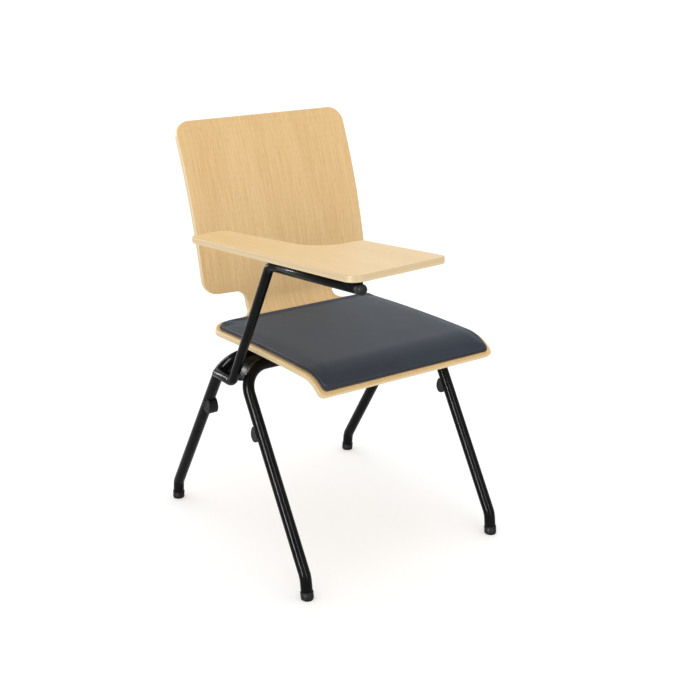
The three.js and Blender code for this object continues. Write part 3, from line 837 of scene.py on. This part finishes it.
@dataclass
class LegFrames:
    """The two bent tube frames, their foot caps, stacking buffers and shoulder webs."""

    tube_r: float = 12.0
    wall: float = 2.0
    leg_x: float = 238.0
    bar_z: float = 413.0
    bend_r: float = 55.0
    knee_r: float = 40.0
    cap_r: float = 13.3
    cap_height: float = 16.5
    cap_base: float = 5.3
    web_low: float = 378.0
    web_rise: float = 22.0
    web_thickness: float = 3.0
    web_inner_x: float = 150.0
    bead_r: float = 1.7

    def tube(self, legs: LegLine) -> None:
        """Bends one frame's tube.

        Args:
            legs: the frame's side view.
        """
        foot_y = legs.foot_y + (legs.knee_y - legs.foot_y) * self.cap_base / legs.knee_z
        bar = (legs.y_at(self.bar_z), self.bar_z)
        half = [(foot_y, self.cap_base), (legs.knee_y, legs.knee_z), bar]
        corners = [placed(-self.leg_x, y, z) for y, z in half]
        corners += [placed(self.leg_x, y, z) for y, z in reversed(half)]
        radii = [r * MM for r in (self.knee_r, self.bend_r, self.bend_r, self.knee_r)]
        route = rounded_route(corners, radii, 3.0)
        bore = (self.tube_r - self.wall) * MM
        piece = sweep(f"{legs.end.value}_frame_tube", route, self.tube_r * MM, COAT, 48, bore)
        settle(piece, Body.CHAIR, Slot.POWDER_COAT, f"{legs.end.value}_leg_frame")

    def foot(self, legs: LegLine, hand: Hand) -> None:
        """Moulds one foot cap: a cup with a rolled lip and a level sole.

        Args:
            legs: the frame's side view.
            hand: the side it is on.
        """
        up = Vector((0, legs.knee_y - legs.foot_y, legs.knee_z)).normalized()
        turn = Vector((0, 0, 1)).rotation_difference(up).to_matrix()
        foot = Vector((hand.value * self.leg_x, legs.foot_y, 0))

        def place(local: Vector) -> Vector:
            """Stands the cap on the foot and cuts its sole level."""
            there = foot + turn @ local
            return placed(there.x, there.y, max(there.z, 0.0))

        r, top = self.cap_r, self.cap_height
        inner = self.tube_r + 0.3
        profile = [
            (0, -4), (r - 2.2, -4), (r - 1.2, 0.4), (r - 0.5, 1.6), (r - 0.2, 3.2),
            (r - 0.2, top - 4.2), (r - 0.7, top - 3.6), (r - 0.7, top - 3.0), (r, top - 2.4),
            (r, top - 0.7), (r - 0.3, top - 0.15), (inner + 0.15, top), (inner, top - 0.3),
            (inner, self.cap_base), (0, self.cap_base),
        ]
        name = f"foot_cup_{legs.end.value}_{hand.name.lower()}"
        piece = turned(name, profile, place, PLASTIC)
        settle(piece, Body.CHAIR, Slot.BLACK_PLASTIC, name.replace("cup", "cap"))

    def buffer(self, legs: LegLine, hand: Hand) -> None:
        """Moulds one stacking buffer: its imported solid, with every edge softened as moulding leaves it.

        Args:
            legs: the frame's side view.
            hand: the side it is on.
        """
        node = f"stacking_buffer_{legs.end.value}_{hand.name.lower()}"
        rough = bpy.data.objects.new("rough", frame["nodes"][node].data.copy())
        bpy.context.scene.collection.objects.link(rough)
        remesh = rough.modifiers.new("even_grid", "REMESH")
        remesh.mode = "VOXEL"
        remesh.voxel_size = 0.8 * MM
        soft = rough.modifiers.new("soft_edges", "SMOOTH")
        soft.factor = 0.5
        soft.iterations = 9
        bpy.context.view_layer.update()
        graph = bpy.context.evaluated_depsgraph_get()
        mesh = bpy.data.meshes.new_from_object(rough.evaluated_get(graph))
        bpy.data.objects.remove(rough)
        mesh.materials.clear()
        piece = finish_mesh(f"buffer_moulding_{legs.end.value}_{hand.name.lower()}", mesh, [PLASTIC], 80.0)
        settle(piece, Body.CHAIR, Slot.BLACK_PLASTIC, node)

    def web(self, hand: Hand) -> None:
        """Presses one shoulder web, which follows the frames' bends between the two tubes.

        Args:
            hand: the side it is on.
        """
        centre_x, centre_z = self.leg_x - self.bend_r, self.bar_z - self.bend_r
        columns, rows, flat = 24, 16, 5

        def edge_z(across: float) -> float:
            """Height of the lower edge, from 0 at the front tube to 1 at the rear one."""
            climb = max(0.0, 1 - 2 * across)
            return self.web_low + self.web_rise * climb**2.2

        corners: list[Vector] = []
        for offset in (-self.web_thickness / 2, self.web_thickness / 2):
            for i in range(rows + 1):
                across = i / rows
                start = math.asin((edge_z(across) - centre_z) / self.bend_r)
                for k in range(columns + 1):
                    if k <= columns - flat:
                        angle = start + (math.pi / 2 - start) * k / (columns - flat)
                        x = centre_x + (self.bend_r + offset) * math.cos(angle)
                        z = centre_z + (self.bend_r + offset) * math.sin(angle)
                    else:
                        x = centre_x + (self.web_inner_x - centre_x) * (k - columns + flat) / flat
                        z = self.bar_z + offset
                    front, rear = FRONT_LEGS.y_at(z), REAR_LEGS.y_at(z)
                    corners.append(placed(hand.value * x, front + (rear - front) * across, z))
        width = columns + 1
        sheet = width * (rows + 1)
        faces = []
        for base in (0, sheet):
            for i in range(rows):
                for k in range(columns):
                    a = base + i * width + k
                    faces.append((a, a + 1, a + width + 1, a + width))
        rim = [*range(width)] + [i * width + columns for i in range(1, rows + 1)]
        rim += [rows * width + k for k in range(columns - 1, -1, -1)]
        rim += [i * width for i in range(rows - 1, 0, -1)]
        faces += [(a, b, b + sheet, a + sheet) for a, b in zip(rim, rim[1:] + rim[:1])]
        name = f"shoulder_pressing_{hand.name.lower()}"
        piece = make_object(name, corners, faces, COAT)
        settle(piece, Body.CHAIR, Slot.POWDER_COAT, f"shoulder_web_{hand.name.lower()}")

    def plate_welds(self, hand: Hand) -> None:
        """Lays the weld beads that hold a mounting plate to the two crossbars.

        Args:
            hand: the side it is on.
        """
        low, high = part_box(f"mounting_plate_{hand.name.lower()}")
        routes = []
        for legs in (FRONT_LEGS, REAR_LEGS):
            for side in (-1, 1):
                y = placed(0, legs.y_at(self.bar_z) + side * 6.5, 0).y
                z = low.z - 0.0012
                routes.append([Vector((low.x + 0.012, y, z)), Vector((high.x - 0.012, y, z))])
        name = f"plate_welds_{hand.name.lower()}"
        settle(bead(name, routes, self.bead_r, COAT), Body.CHAIR, Slot.POWDER_COAT)

    def build(self) -> None:
        """Builds both frames and what is fitted to them."""
        for legs in (FRONT_LEGS, REAR_LEGS):
            self.tube(legs)
            for hand in Hand:
                self.foot(legs, hand)
                self.buffer(legs, hand)
        for hand in Hand:
            self.web(hand)
            self.plate_welds(hand)
            dress(f"mounting_plate_{hand.name.lower()}", COAT, 0.5)


# ---------------------------------------------------------------- plywood shell


@dataclass(frozen=True)
class Run:
    """One run of the shell's side view: a length or a radius, and its turn upwards in degrees."""

    length: float = 0.0
    radius: float = 0.0
    turn: float = 0.0

    def size(self) -> float:
        """Its length along the middle surface."""
        return self.length or self.radius * math.radians(abs(self.turn))


@dataclass
class PlywoodShell:
    """The one-piece seat and back, pressed from beech ply."""

    thickness: float = 11.0
    start: tuple[float, float, float] = (-11.3, 420.4, 50.0)
    runs: tuple[Run, ...] = (
        Run(radius=80.0, turn=-50.0),
        Run(length=25.0),
        Run(radius=4900.0, turn=-3.5),
        Run(radius=55.0, turn=86.0),
        Run(radius=1250.0, turn=-17.9),
    )
    half_width: float = 210.5
    front_corner_r: float = 13.0
    seat_rear: float = 434.0
    seat_corner_r: float = 32.0
    neck: float = 110.0
    neck_fillet_r: float = 24.0
    lobe_low: float = 495.5
    lobe_corner_r: float = 35.0
    top_corner_r: float = 34.0
    ease: float = 1.6
    roll_end: float = 72.0
    bend: tuple[float, float] = (385.0, 500.0)
    fine_row: float = 3.5
    coarse_row: float = 12.0
    row_margin: float = 4.0

    def length(self) -> float:
        """Length of the flat blank."""
        return sum(run.size() for run in self.runs)

    def place(self, flat: Vector) -> Vector:
        """Bends a place on the flat blank.

        Args:
            flat: across, along and over the middle surface, in millimetres.

        Returns:
            The place in metres.
        """
        y, z, heading = self.start
        heading = math.radians(heading)
        left = flat.y
        last = len(self.runs) - 1
        for number, run in enumerate(self.runs):
            used = left if number == last else min(left, run.size())
            turn = math.radians(run.turn) * used / run.size()
            chord = used if abs(turn) < 1e-9 else 2 * used * math.sin(turn / 2) / turn
            y += chord * math.cos(heading + turn / 2)
            z += chord * math.sin(heading + turn / 2)
            heading += turn
            left -= used
        return placed(flat.x, y - math.sin(heading) * flat.z, z + math.cos(heading) * flat.z)

    def rows(self, low: float, high: float) -> list[float]:
        """Lines along the blank at which it bends.

        Args:
            low: the sheet's first edge.
            high: its last edge.

        Returns:
            Distances from the front lip.
        """
        lines, at = [], low + self.row_margin
        while at < high - self.row_margin:
            lines.append(at)
            tight = at < self.roll_end or self.bend[0] < at < self.bend[1]
            at += self.fine_row if tight else self.coarse_row
        return lines

    def outline(self) -> list[tuple[float, float]]:
        """The blank's outline: seat, neck, lobes and back."""
        w, corner, fillet = self.half_width, self.seat_corner_r, self.neck_fillet_r
        front, lobe, top, end = self.front_corner_r, self.lobe_corner_r, self.top_corner_r, self.length()
        half = arc(w - front, front, front, -90, 0)
        half += arc(w - corner, self.seat_rear - corner - 2, corner, 0, 90)
        half += arc(self.neck + fillet, self.seat_rear + fillet, fillet, -90, -180)
        half += arc(self.neck + fillet, self.lobe_low - fillet, fillet, 180, 90)
        half += arc(w - lobe, self.lobe_low + 1.5 + lobe, lobe, -90, 0)
        half += arc(w - top, end - top, top, 0, 90)
        return half + [(-x, y) for x, y in reversed(half)]

    def seat_outline(self, inset: float, rear_inset: float) -> list[tuple[float, float]]:
        """Outline of a sheet that covers the seat.

        Args:
            inset: from the shell's sides and front.
            rear_inset: from the seat's rear.

        Returns:
            The outline.
        """
        w = self.half_width - inset
        front = self.front_corner_r - 0.4 * inset
        rear = self.seat_corner_r - 0.4 * inset
        half = arc(w - front, inset + front, front, -90, 0)
        half += arc(w - rear, self.seat_rear - rear_inset - rear, rear, 0, 90)
        return half + [(-x, y) for x, y in reversed(half)]

    def build(self) -> None:
        """Presses the shell."""
        half = self.thickness / 2
        sheet = Sheet(self.outline(), -half, half, self.ease, self.rows(0.0, self.length()))
        piece = sheet.build("plywood_seat_and_back", self.place, SHELL_FACE, SHELL_EDGE)
        settle(piece, Body.CHAIR, Slot.SHELL_BEECH, "seat_back_shell")


# ---------------------------------------------------------------- seat pad


@dataclass
class SeatPad:
    """The foam pad in its stretched cover, over a near-black band under its edge, which is partly the cover
    turned under there and partly painted shade.
    """

    shell: PlywoodShell
    inset: float = 8.6
    rear_inset: float = 5.6
    shaded_underside_inset: float = 9.0
    shaded_underside_low: float = 0.35
    shaded_underside_high: float = 3.6
    base: float = 3.3
    crown: float = 10.6
    edge: float = 3.4
    voxel: float = 4.0
    pressure: float = 4.0
    most_swell: float = 1.9
    held_height: float = 2.0
    frames: int = 20

    def swelled(self, blank: bpy.types.Object) -> bpy.types.Mesh:
        """Blows the flat pad up with cloth simulation and keeps how far it may swell.

        Args:
            blank: the flat pad, in metres.

        Returns:
            The swelled mesh, still flat.
        """
        scene = bpy.context.scene
        remesh = blank.modifiers.new("even_grid", "REMESH")
        remesh.mode = "VOXEL"
        remesh.voxel_size = self.voxel * MM
        bpy.context.view_layer.update()
        graph = bpy.context.evaluated_depsgraph_get()
        mesh = bpy.data.meshes.new_from_object(blank.evaluated_get(graph))
        blank.modifiers.clear()
        blank.data = mesh
        start = [vertex.co.copy() for vertex in mesh.vertices]
        lowest = min(point.z for point in start)
        held = blank.vertex_groups.new(name="held")
        held.add([i for i, p in enumerate(start) if p.z < lowest + self.held_height * MM], 1.0, "REPLACE")
        cloth = blank.modifiers.new("swell", "CLOTH")
        cloth.settings.use_pressure = True
        cloth.settings.uniform_pressure_force = self.pressure
        cloth.settings.effector_weights.gravity = 0.0
        cloth.settings.vertex_group_mass = "held"
        cloth.point_cache.frame_start = 1
        cloth.point_cache.frame_end = self.frames
        for number in range(1, self.frames + 1):
            scene.frame_set(number)
        graph = bpy.context.evaluated_depsgraph_get()
        mesh = bpy.data.meshes.new_from_object(blank.evaluated_get(graph))
        blank.modifiers.clear()
        blank.data = mesh
        scene.frame_set(1)
        for vertex, point in zip(mesh.vertices, start):
            moved = vertex.co - point
            reach = moved.length
            if reach > self.most_swell * MM:
                vertex.co = point + moved * (self.most_swell * MM / reach)
        smooth = blank.modifiers.new("even_cover", "SMOOTH")
        smooth.factor = 0.5
        smooth.iterations = 4
        divide = blank.modifiers.new("fine_cover", "SUBSURF")
        divide.levels = divide.render_levels = 1
        bpy.context.view_layer.update()
        graph = bpy.context.evaluated_depsgraph_get()
        return bpy.data.meshes.new_from_object(blank.evaluated_get(graph))

    def cushion(self) -> None:
        """Makes the pad: simulated flat, and then laid over the seat."""
        outline = self.shell.seat_outline(self.inset, self.rear_inset)
        flat = Sheet(outline, self.base, self.crown, self.edge).build("flat_pad", lambda p: p * MM)
        flat.modifiers.clear()
        mesh = self.swelled(flat)
        bpy.data.objects.remove(flat)
        memory = mesh.attributes.get("blank") or mesh.attributes.new("blank", "FLOAT_VECTOR", "POINT")
        for vertex, value in zip(mesh.vertices, memory.data):
            value.vector = vertex.co
            vertex.co = self.shell.place(vertex.co / MM)
        mesh.materials.clear()
        piece = finish_mesh("seat_cushion", mesh, [PAD_COVER], 80.0)
        settle(piece, Body.CHAIR, Slot.PAD_CLOTH, "seat_pad")

    def shaded_underside(self) -> None:
        """Makes the near-black band that wraps the pad's board: partly the cover turned under there, partly
        painted shade of the gap under the pad.
        """
        outline = self.shell.seat_outline(self.shaded_underside_inset, self.shaded_underside_inset - 3.0)
        half = self.shell.thickness / 2
        rows = self.shell.rows(self.shaded_underside_inset, self.shell.seat_rear)
        sheet = Sheet(outline, half + self.shaded_underside_low, half + self.shaded_underside_high, 0.4, rows)
        # The band is near black: partly the cover turned under the pad, partly painted shade of the gap
        # under it.
        piece = sheet.build("pad_hem", self.shell.place, PAD_SHADED_UNDERSIDE, PAD_SHADED_UNDERSIDE)
        settle(piece, Body.CHAIR, Slot.PAD_CLOTH, "pad_board")

    def build(self) -> None:
        """Builds the pad and the near-black band under it, which is partly painted shade."""
        half = self.shell.thickness / 2
        self.base += half
        self.crown += half
        self.cushion()
        self.shaded_underside()


# ---------------------------------------------------------------- fixings


@dataclass
class SeatFixings:
    """Screws, spacers and tee nuts between the mounting plates and the shell."""

    head_r: float = 6.0
    head_h: float = 3.3
    shank_r: float = 2.9
    socket_r: float = 2.3

    def screw(self, place: str) -> None:
        """Turns one button-head screw with a hexagon socket.

        Args:
            place: which of the four places it is at.
        """
        node = f"shell_screw_{place}"
        low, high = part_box(node)
        middle = (low + high) / 2
        top = (high.z - low.z) / MM
        r, h = self.head_r, self.head_h
        profile = [
            (0, top), (self.shank_r, top), (self.shank_r, h + 0.2), (r - 0.2, h + 0.2),
            (r, h - 0.3), (r - 0.5, h - 1.6), (r - 1.7, 0.7), (r - 3.0, 0.1),
            (self.socket_r, 0.0), (self.socket_r, 2.0), (0, 2.0),
        ]

        def stand(local: Vector) -> Vector:
            """Stands the screw on its packed place."""
            return Vector((middle.x, middle.y, low.z)) + local * MM

        piece = turned(f"button_screw_{place}", profile, stand, STEEL, 36, 2)
        settle(piece, Body.CHAIR, Slot.STEEL, node)

    def build(self) -> None:
        """Fits the four places."""
        for end in End:
            for hand in Hand:
                place = f"{end.value}_{hand.name.lower()}"
                self.screw(place)
                dress(f"shell_spacer_{place}", PLASTIC, 0.6)
                dress(f"tee_nut_{place}", STEEL, 0.2)


# ---------------------------------------------------------------- arm, hinge and tablet


@dataclass
class HingeLine:
    """The tablet's hinge line: across is inwards, along is forwards, height is square to the tablet."""

    origin: Vector = field(init=False)
    across: Vector = field(init=False)
    forward: Vector = field(init=False)
    up: Vector = field(init=False)

    def __post_init__(self) -> None:
        """Reads the line from the record's hinge."""
        joint = frame["record"]["behaviour"]["joints"][0]
        self.origin = Vector(joint["pos_m"])
        self.forward = Vector(joint["axis"]).normalized()
        self.across = Vector((-self.forward.y, self.forward.x, 0.0)).normalized()
        self.up = self.forward.cross(self.across) * -1
        if self.up.z < 0:
            self.up.negate()

    def at(self, across: float, along: float, height: float) -> Vector:
        """The place so many millimetres inwards, forwards and square to the tablet, in metres."""
        return self.origin + (self.across * across + self.forward * along + self.up * height) * MM

    def turned_place(self, local: Vector) -> Vector:
        """Places a piece that is turned about the hinge line, with Z as the distance along it."""
        return self.at(local.x, local.z, local.y)

    def sheet_place(self, local: Vector) -> Vector:
        """Places a sheet that is drawn with its Y to the rear."""
        return self.at(local.x, -local.y, local.z)


@dataclass
class TabletArm:
    """The bent arm tube, its weld on the rear leg, and the plug in its front end."""

    line: HingeLine
    x: float = -251.0
    radius: float = 9.6
    bore: float = 6.3
    start_y: float = 319.0
    low: tuple[float, float] = (249.0, 381.0)
    low_bend_r: float = 22.0
    top_bend_r: float = 25.0
    arm_end: float = 29.0
    dome: float = 3.5
    leg_x: float = -238.0
    leg_r: float = 12.0
    bead_r: float = 1.6
    plug_start: float = 259.4
    plug_over: float = 0.35

    def tube(self) -> None:
        """Bends the arm: its lower end is closed by a shallow dome."""
        corners = [
            placed(self.x, self.start_y, self.low[1]),
            placed(self.x, *self.low),
            self.line.at(0, 0, 0),
            self.line.at(0, self.arm_end, 0),
        ]
        route = rounded_route(corners, [self.low_bend_r * MM, self.top_bend_r * MM], 3.0)
        closed_end, radii = [], []
        for k in range(6):
            angle = math.pi / 2 * k / 6
            closed_end.append(route[0] + Vector((0, -self.dome * MM * (1 - math.cos(angle)), 0)))
            radii.append(max(0.3, self.radius * math.sin(angle)) * MM)
        closed_end.append(route[0] + Vector((0, -self.dome * MM, 0)))
        route = closed_end + route[1:]
        radii += [self.radius * MM] * (len(route) - len(radii))
        piece = sweep("arm_tube", route, radii, COAT, 40)
        settle(piece, Body.CHAIR, Slot.POWDER_COAT, "tablet_arm")

    def weld(self) -> None:
        """Lays the bead where the arm's lower run meets the rear leg."""
        slope = math.hypot(1.0, REAR_LEGS.lean)
        route = []
        for degrees in range(-72, 73, 6):
            angle = math.radians(degrees)
            x = self.x + self.radius * math.cos(angle)
            z = self.low[1] + self.radius * math.sin(angle)
            reach = math.sqrt(max(0.0, self.leg_r**2 - (x - self.leg_x) ** 2))
            y = min(REAR_LEGS.y_at(z) - reach * slope, self.start_y - 1.0)
            route.append(placed(x, y, z))
        settle(bead("arm_weld", [route], self.bead_r, COAT), Body.CHAIR, Slot.POWDER_COAT)

    def plug(self) -> None:
        """Turns the domed plug at the front of the hinge."""
        low, r = self.plug_start, self.radius + self.plug_over
        dome = [(0.3, 10.2), (1.2, 12.2), (3.0, 13.9), (5.4, 14.7), (r, 15.0)]
        profile = [(0, low), (r - 0.4, low), (r, low + 0.5), (r, low + 8.5)]
        profile += [(r - narrower, low + along) for narrower, along in dome]
        piece = turned("arm_plug", profile, self.line.turned_place, PLASTIC)
        settle(piece, Body.CHAIR, Slot.BLACK_PLASTIC, "arm_end_cap")

    def build(self) -> None:
        """Builds the arm and dresses what is inside the hinge."""
        self.tube()
        self.weld()
        self.plug()
        dress("tablet_spindle", STEEL, 0.3)
        dress("stop_pin", STEEL, 0.2)
        for end in End:
            dress(f"pivot_bush_{end.value}", BUSHING, 0.15)


@dataclass
class TabletHinge:
    """The hinge tube with its stop slot, and the plates and screws that hold the tablet to it."""

    line: HingeLine
    radius: float = 9.6
    bore: float = 8.1
    start: float = 31.1
    end: float = 257.0
    slot_at: float = 130.0
    slot_half: float = 3.0
    swing: float = 97.0
    plate_along: tuple[float, float] = (70.0, 243.0)
    plate_half: float = 13.0
    bead_r: float = 1.3
    bead_places: tuple[tuple[float, float], ...] = ((-7.4, 6.3), (9.7, 2.4))
    sides: int = 72
    chamfer: float = 0.4
    screw_rows: tuple[tuple[str, float], ...] = (("outer", 32.0), ("inner", 78.0))
    screw_head: float = 10.0

    def tube(self) -> None:
        """Rolls the hinge tube and leaves its stop slot open."""
        sides, cut = self.sides, self.chamfer
        clear = math.degrees(math.asin(self.slot_half / self.bore))
        stations = [self.start, self.start + 0.5, self.slot_at - self.slot_half]
        stations += [self.slot_at + self.slot_half, self.end - 0.5, self.end]
        eased = [cut, 0.0, 0.0, 0.0, 0.0, cut]
        corners, faces = [], []
        for reach in (self.radius, self.bore):
            for along, cut in zip(stations, eased):
                outer = reach - cut if reach == self.radius else reach
                for k in range(sides):
                    angle = math.tau * k / sides
                    corners.append(self.line.at(outer * math.cos(angle), along, outer * math.sin(angle)))
        layer = len(stations) * sides

        def open_at(k: int) -> bool:
            """Whether a face of the slot's ring is cut away."""
            degrees = 360.0 * (k + 0.5) / sides
            degrees = degrees - 360.0 if degrees > 180.0 else degrees
            return -self.swing - clear < degrees < clear

        for k in range(sides):
            n = (k + 1) % sides
            for i in range(len(stations) - 1):
                a, b = i * sides, (i + 1) * sides
                if i == 2 and open_at(k):
                    for ring in (a, b):
                        faces.append((ring + k, ring + n, layer + ring + n, layer + ring + k))
                    if not open_at((k - 1) % sides):
                        faces.append((a + k, b + k, layer + b + k, layer + a + k))
                    if not open_at(n):
                        faces.append((a + n, b + n, layer + b + n, layer + a + n))
                    continue
                faces.append((a + k, a + n, b + n, b + k))
                faces.append((layer + a + k, layer + a + n, layer + b + n, layer + b + k))
            for ring in (0, layer - sides):
                faces.append((ring + k, ring + n, layer + ring + n, layer + ring + k))
        piece = make_object("hinge_sleeve", corners, faces, COAT)
        settle(piece, Body.TABLET, Slot.POWDER_COAT, "hinge_tube")

    def welds(self) -> None:
        """Lays the beads between the plates' saddles and the tube."""
        routes = []
        for along in self.plate_along:
            first, last = along - self.plate_half + 2, along + self.plate_half - 2
            for across, height in self.bead_places:
                routes.append([self.line.at(across, first, height), self.line.at(across, last, height)])
        settle(bead("hinge_welds", routes, self.bead_r, COAT), Body.TABLET, Slot.POWDER_COAT)

    def screw(self, end: End, row: str, across: float) -> None:
        """Turns one tablet screw: a pan head with a hexagon socket.

        Args:
            end: the plate it is in.
            row: outer or inner.
            across: how far inwards that row lies.
        """
        node = f"tablet_screw_{end.value}_{row}"
        along = self.plate_along[0 if end is End.REAR else 1]
        head = self.screw_head
        profile = [
            (0, 21.9), (1.9, 20.0), (1.9, head), (3.9, head), (4.0, head - 0.4), (3.7, head - 1.4),
            (2.7, head - 2.0), (1.7, head - 2.2), (1.7, head - 0.9), (0, head - 0.9),
        ]

        def stand(local: Vector) -> Vector:
            """Stands the screw under the tablet."""
            return self.line.at(across + local.x, along + local.y, local.z)

        piece = turned(f"pan_screw_{end.value}_{row}", profile, stand, STEEL, 36, 2)
        settle(piece, Body.TABLET, Slot.STEEL, node)

    def build(self) -> None:
        """Builds the hinge."""
        self.tube()
        self.welds()
        for end in End:
            dress(f"hinge_plate_{end.value}", COAT, 0.5)
            for row, across in self.screw_rows:
                self.screw(end, row, across)


@dataclass
class WritingTablet:
    """The tablet board: wide in front of the sitter, narrow beside the elbow."""

    line: HingeLine
    low: float = 13.0
    thickness: float = 12.0
    front: float = 269.5
    rear: float = 247.0
    ease: float = 1.3
    front_outer_r: float = 26.0
    front_inner: tuple[float, float] = (197.0, 17.0)
    step: tuple[float, float, float] = (186.5, -42.0, 12.0)
    hollow: tuple[float, float, float] = (151.0, 31.0, 72.0)
    rear_inner: tuple[float, float] = (64.0, 28.0)
    rear_outer: tuple[float, float] = (-24.0, 22.0)
    outer: float = -20.0

    def outline(self) -> list[tuple[float, float]]:
        """The board's outline, with Y to the rear, from its outer front corner to its outer rear corner."""
        front, rear, r = self.front, self.rear, self.front_outer_r
        points = arc(self.outer + r, r - front, r, -180, -90, 16)
        side, r = self.front_inner
        points += arc(side - r, r - front, r, -90, 0, 14)
        side, end, r = self.step
        points += arc(side - r, end - r, r, 0, 90, 12)
        points += arc(*self.hollow, -90, -180, 26)
        side, r = self.rear_inner
        points += arc(side - r, rear - r, r, 0, 90, 16)
        side, r = self.rear_outer
        points += arc(side + r, rear - r, r, 90, 180, 16)
        return points

    def build(self) -> None:
        """Cuts the board."""
        sheet = Sheet(self.outline(), self.low, self.low + self.thickness, self.ease, (), True)
        piece = sheet.build("tablet_panel", self.line.sheet_place, TABLET_FACE, TABLET_EDGE, TABLET_SEAM)
        settle(piece, Body.TABLET, Slot.TABLET_BEECH, "tablet_board")


# ---------------------------------------------------------------- studio


@dataclass
class Studio:
    """A plain pale floor, soft light and the camera."""

    eye: tuple[float, float, float] = (-1352.9, -1742.1, 1252.3)
    pitch: float = 19.519
    yaw: float = 34.940
    lens: float = 61.80
    sky: float = 1.0
    floor_half: float = 60.0
    floor_glow: float = 0.27
    strips: tuple[tuple[str, Sequence[float], tuple[float, float], float], ...] = (
        ("left_strip", (-2.8, -1.0, 1.4), (0.2, 2.4), 300.0),
        ("right_strip", (-0.2, -3.0, 1.4), (0.16, 2.4), 90.0),
        ("rear_strip", (-1.2, 2.8, 1.6), (0.2, 2.2), 90.0),
    )

    def camera(self) -> None:
        """Sets the camera up."""
        data = bpy.data.cameras.new("camera")
        data.lens = self.lens
        data.sensor_width = 36.0
        data.clip_end = 300.0
        made = bpy.data.objects.new("camera", data)
        made.location = placed(*self.eye)
        made.rotation_euler = (math.radians(90 - self.pitch), 0.0, math.radians(-self.yaw))
        bpy.context.scene.collection.objects.link(made)
        bpy.context.scene.camera = made

    def floor(self) -> None:
        """Lays the floor."""
        h = self.floor_half
        sheet = NodeSheet("studio_floor")
        cloud = sheet.noise(sheet.place(), (1.5, 1.5, 1.5), 2.0)
        tone = sheet.ramp(cloud, [(0.3, (0.79, 0.79, 0.79)), (0.7, (0.81, 0.81, 0.81))])
        sheet.join(tone, sheet.shader.inputs["Base Color"])
        sheet.set(
            Roughness=0.9, Specular_IOR_Level=0.1, Emission_Color=(1.0, 1.0, 1.0, 1.0),
            Emission_Strength=self.floor_glow,
        )
        corners = [Vector((-h, -h, 0)), Vector((h, -h, 0)), Vector((h, h, 0)), Vector((-h, h, 0))]
        make_object("studio_floor", corners, [(0, 1, 2, 3)], sheet.material)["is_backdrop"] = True

    def strip(self, name: str, place: Sequence[float], size: tuple[float, float], power: float) -> None:
        """Stands one strip light that faces the chair and shows only in its glossy parts.

        Args:
            name: its name.
            place: where it stands, in metres.
            size: its width and height in metres.
            power: its power in watts.
        """
        data = bpy.data.lights.new(name, "AREA")
        data.shape = "RECTANGLE"
        data.size, data.size_y = size
        data.energy = power
        made = bpy.data.objects.new(name, data)
        made.visible_diffuse = False
        made.location = place
        aim = Vector((0, 0, 0.4)) - Vector(place)
        made.rotation_euler = aim.to_track_quat("-Z", "Y").to_euler()
        bpy.context.scene.collection.objects.link(made)

    def sun(self, name: str, towards: Sequence[float], strength: float, spread: float) -> None:
        """Adds a soft light from far off.

        Args:
            name: its name.
            towards: the direction that it shines in.
            strength: its strength.
            spread: its angle in degrees.
        """
        data = bpy.data.lights.new(name, "SUN")
        data.energy = strength
        data.angle = math.radians(spread)
        made = bpy.data.objects.new(name, data)
        made.rotation_euler = Vector(towards).to_track_quat("-Z", "Y").to_euler()
        bpy.context.scene.collection.objects.link(made)

    def build(self) -> None:
        """Sets the studio up."""
        world = bpy.data.worlds.new("studio")
        world.use_nodes = True
        background = world.node_tree.nodes["Background"]
        background.inputs["Strength"].default_value = self.sky
        background.inputs["Color"].default_value = (1.0, 1.0, 1.0, 1.0)
        bpy.context.scene.world = world
        bpy.context.scene.view_settings.view_transform = "Standard"
        self.floor()
        self.sun("overhead", (0.1, 0.1, -1.0), 0.25, 30.0)
        for strip in self.strips:
            self.strip(*strip)


def write_sizes() -> None:
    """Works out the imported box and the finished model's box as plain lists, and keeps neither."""
    boxes = {"cad": CAD_BOX, "visual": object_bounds()}
    plain = {name: [list(corner) for corner in box] for name, box in boxes.items()}


def main() -> None:
    """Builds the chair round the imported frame."""
    logging.basicConfig(level=logging.INFO, format="%(name)s: %(message)s")
    Studio().build()
    Studio().camera()
    LegFrames().build()
    shell = PlywoodShell()
    shell.build()
    SeatPad(shell).build()
    SeatFixings().build()
    line = HingeLine()
    TabletArm(line).build()
    TabletHinge(line).build()
    WritingTablet(line).build()
    write_sizes()


if __name__ == "__main__":
    main()
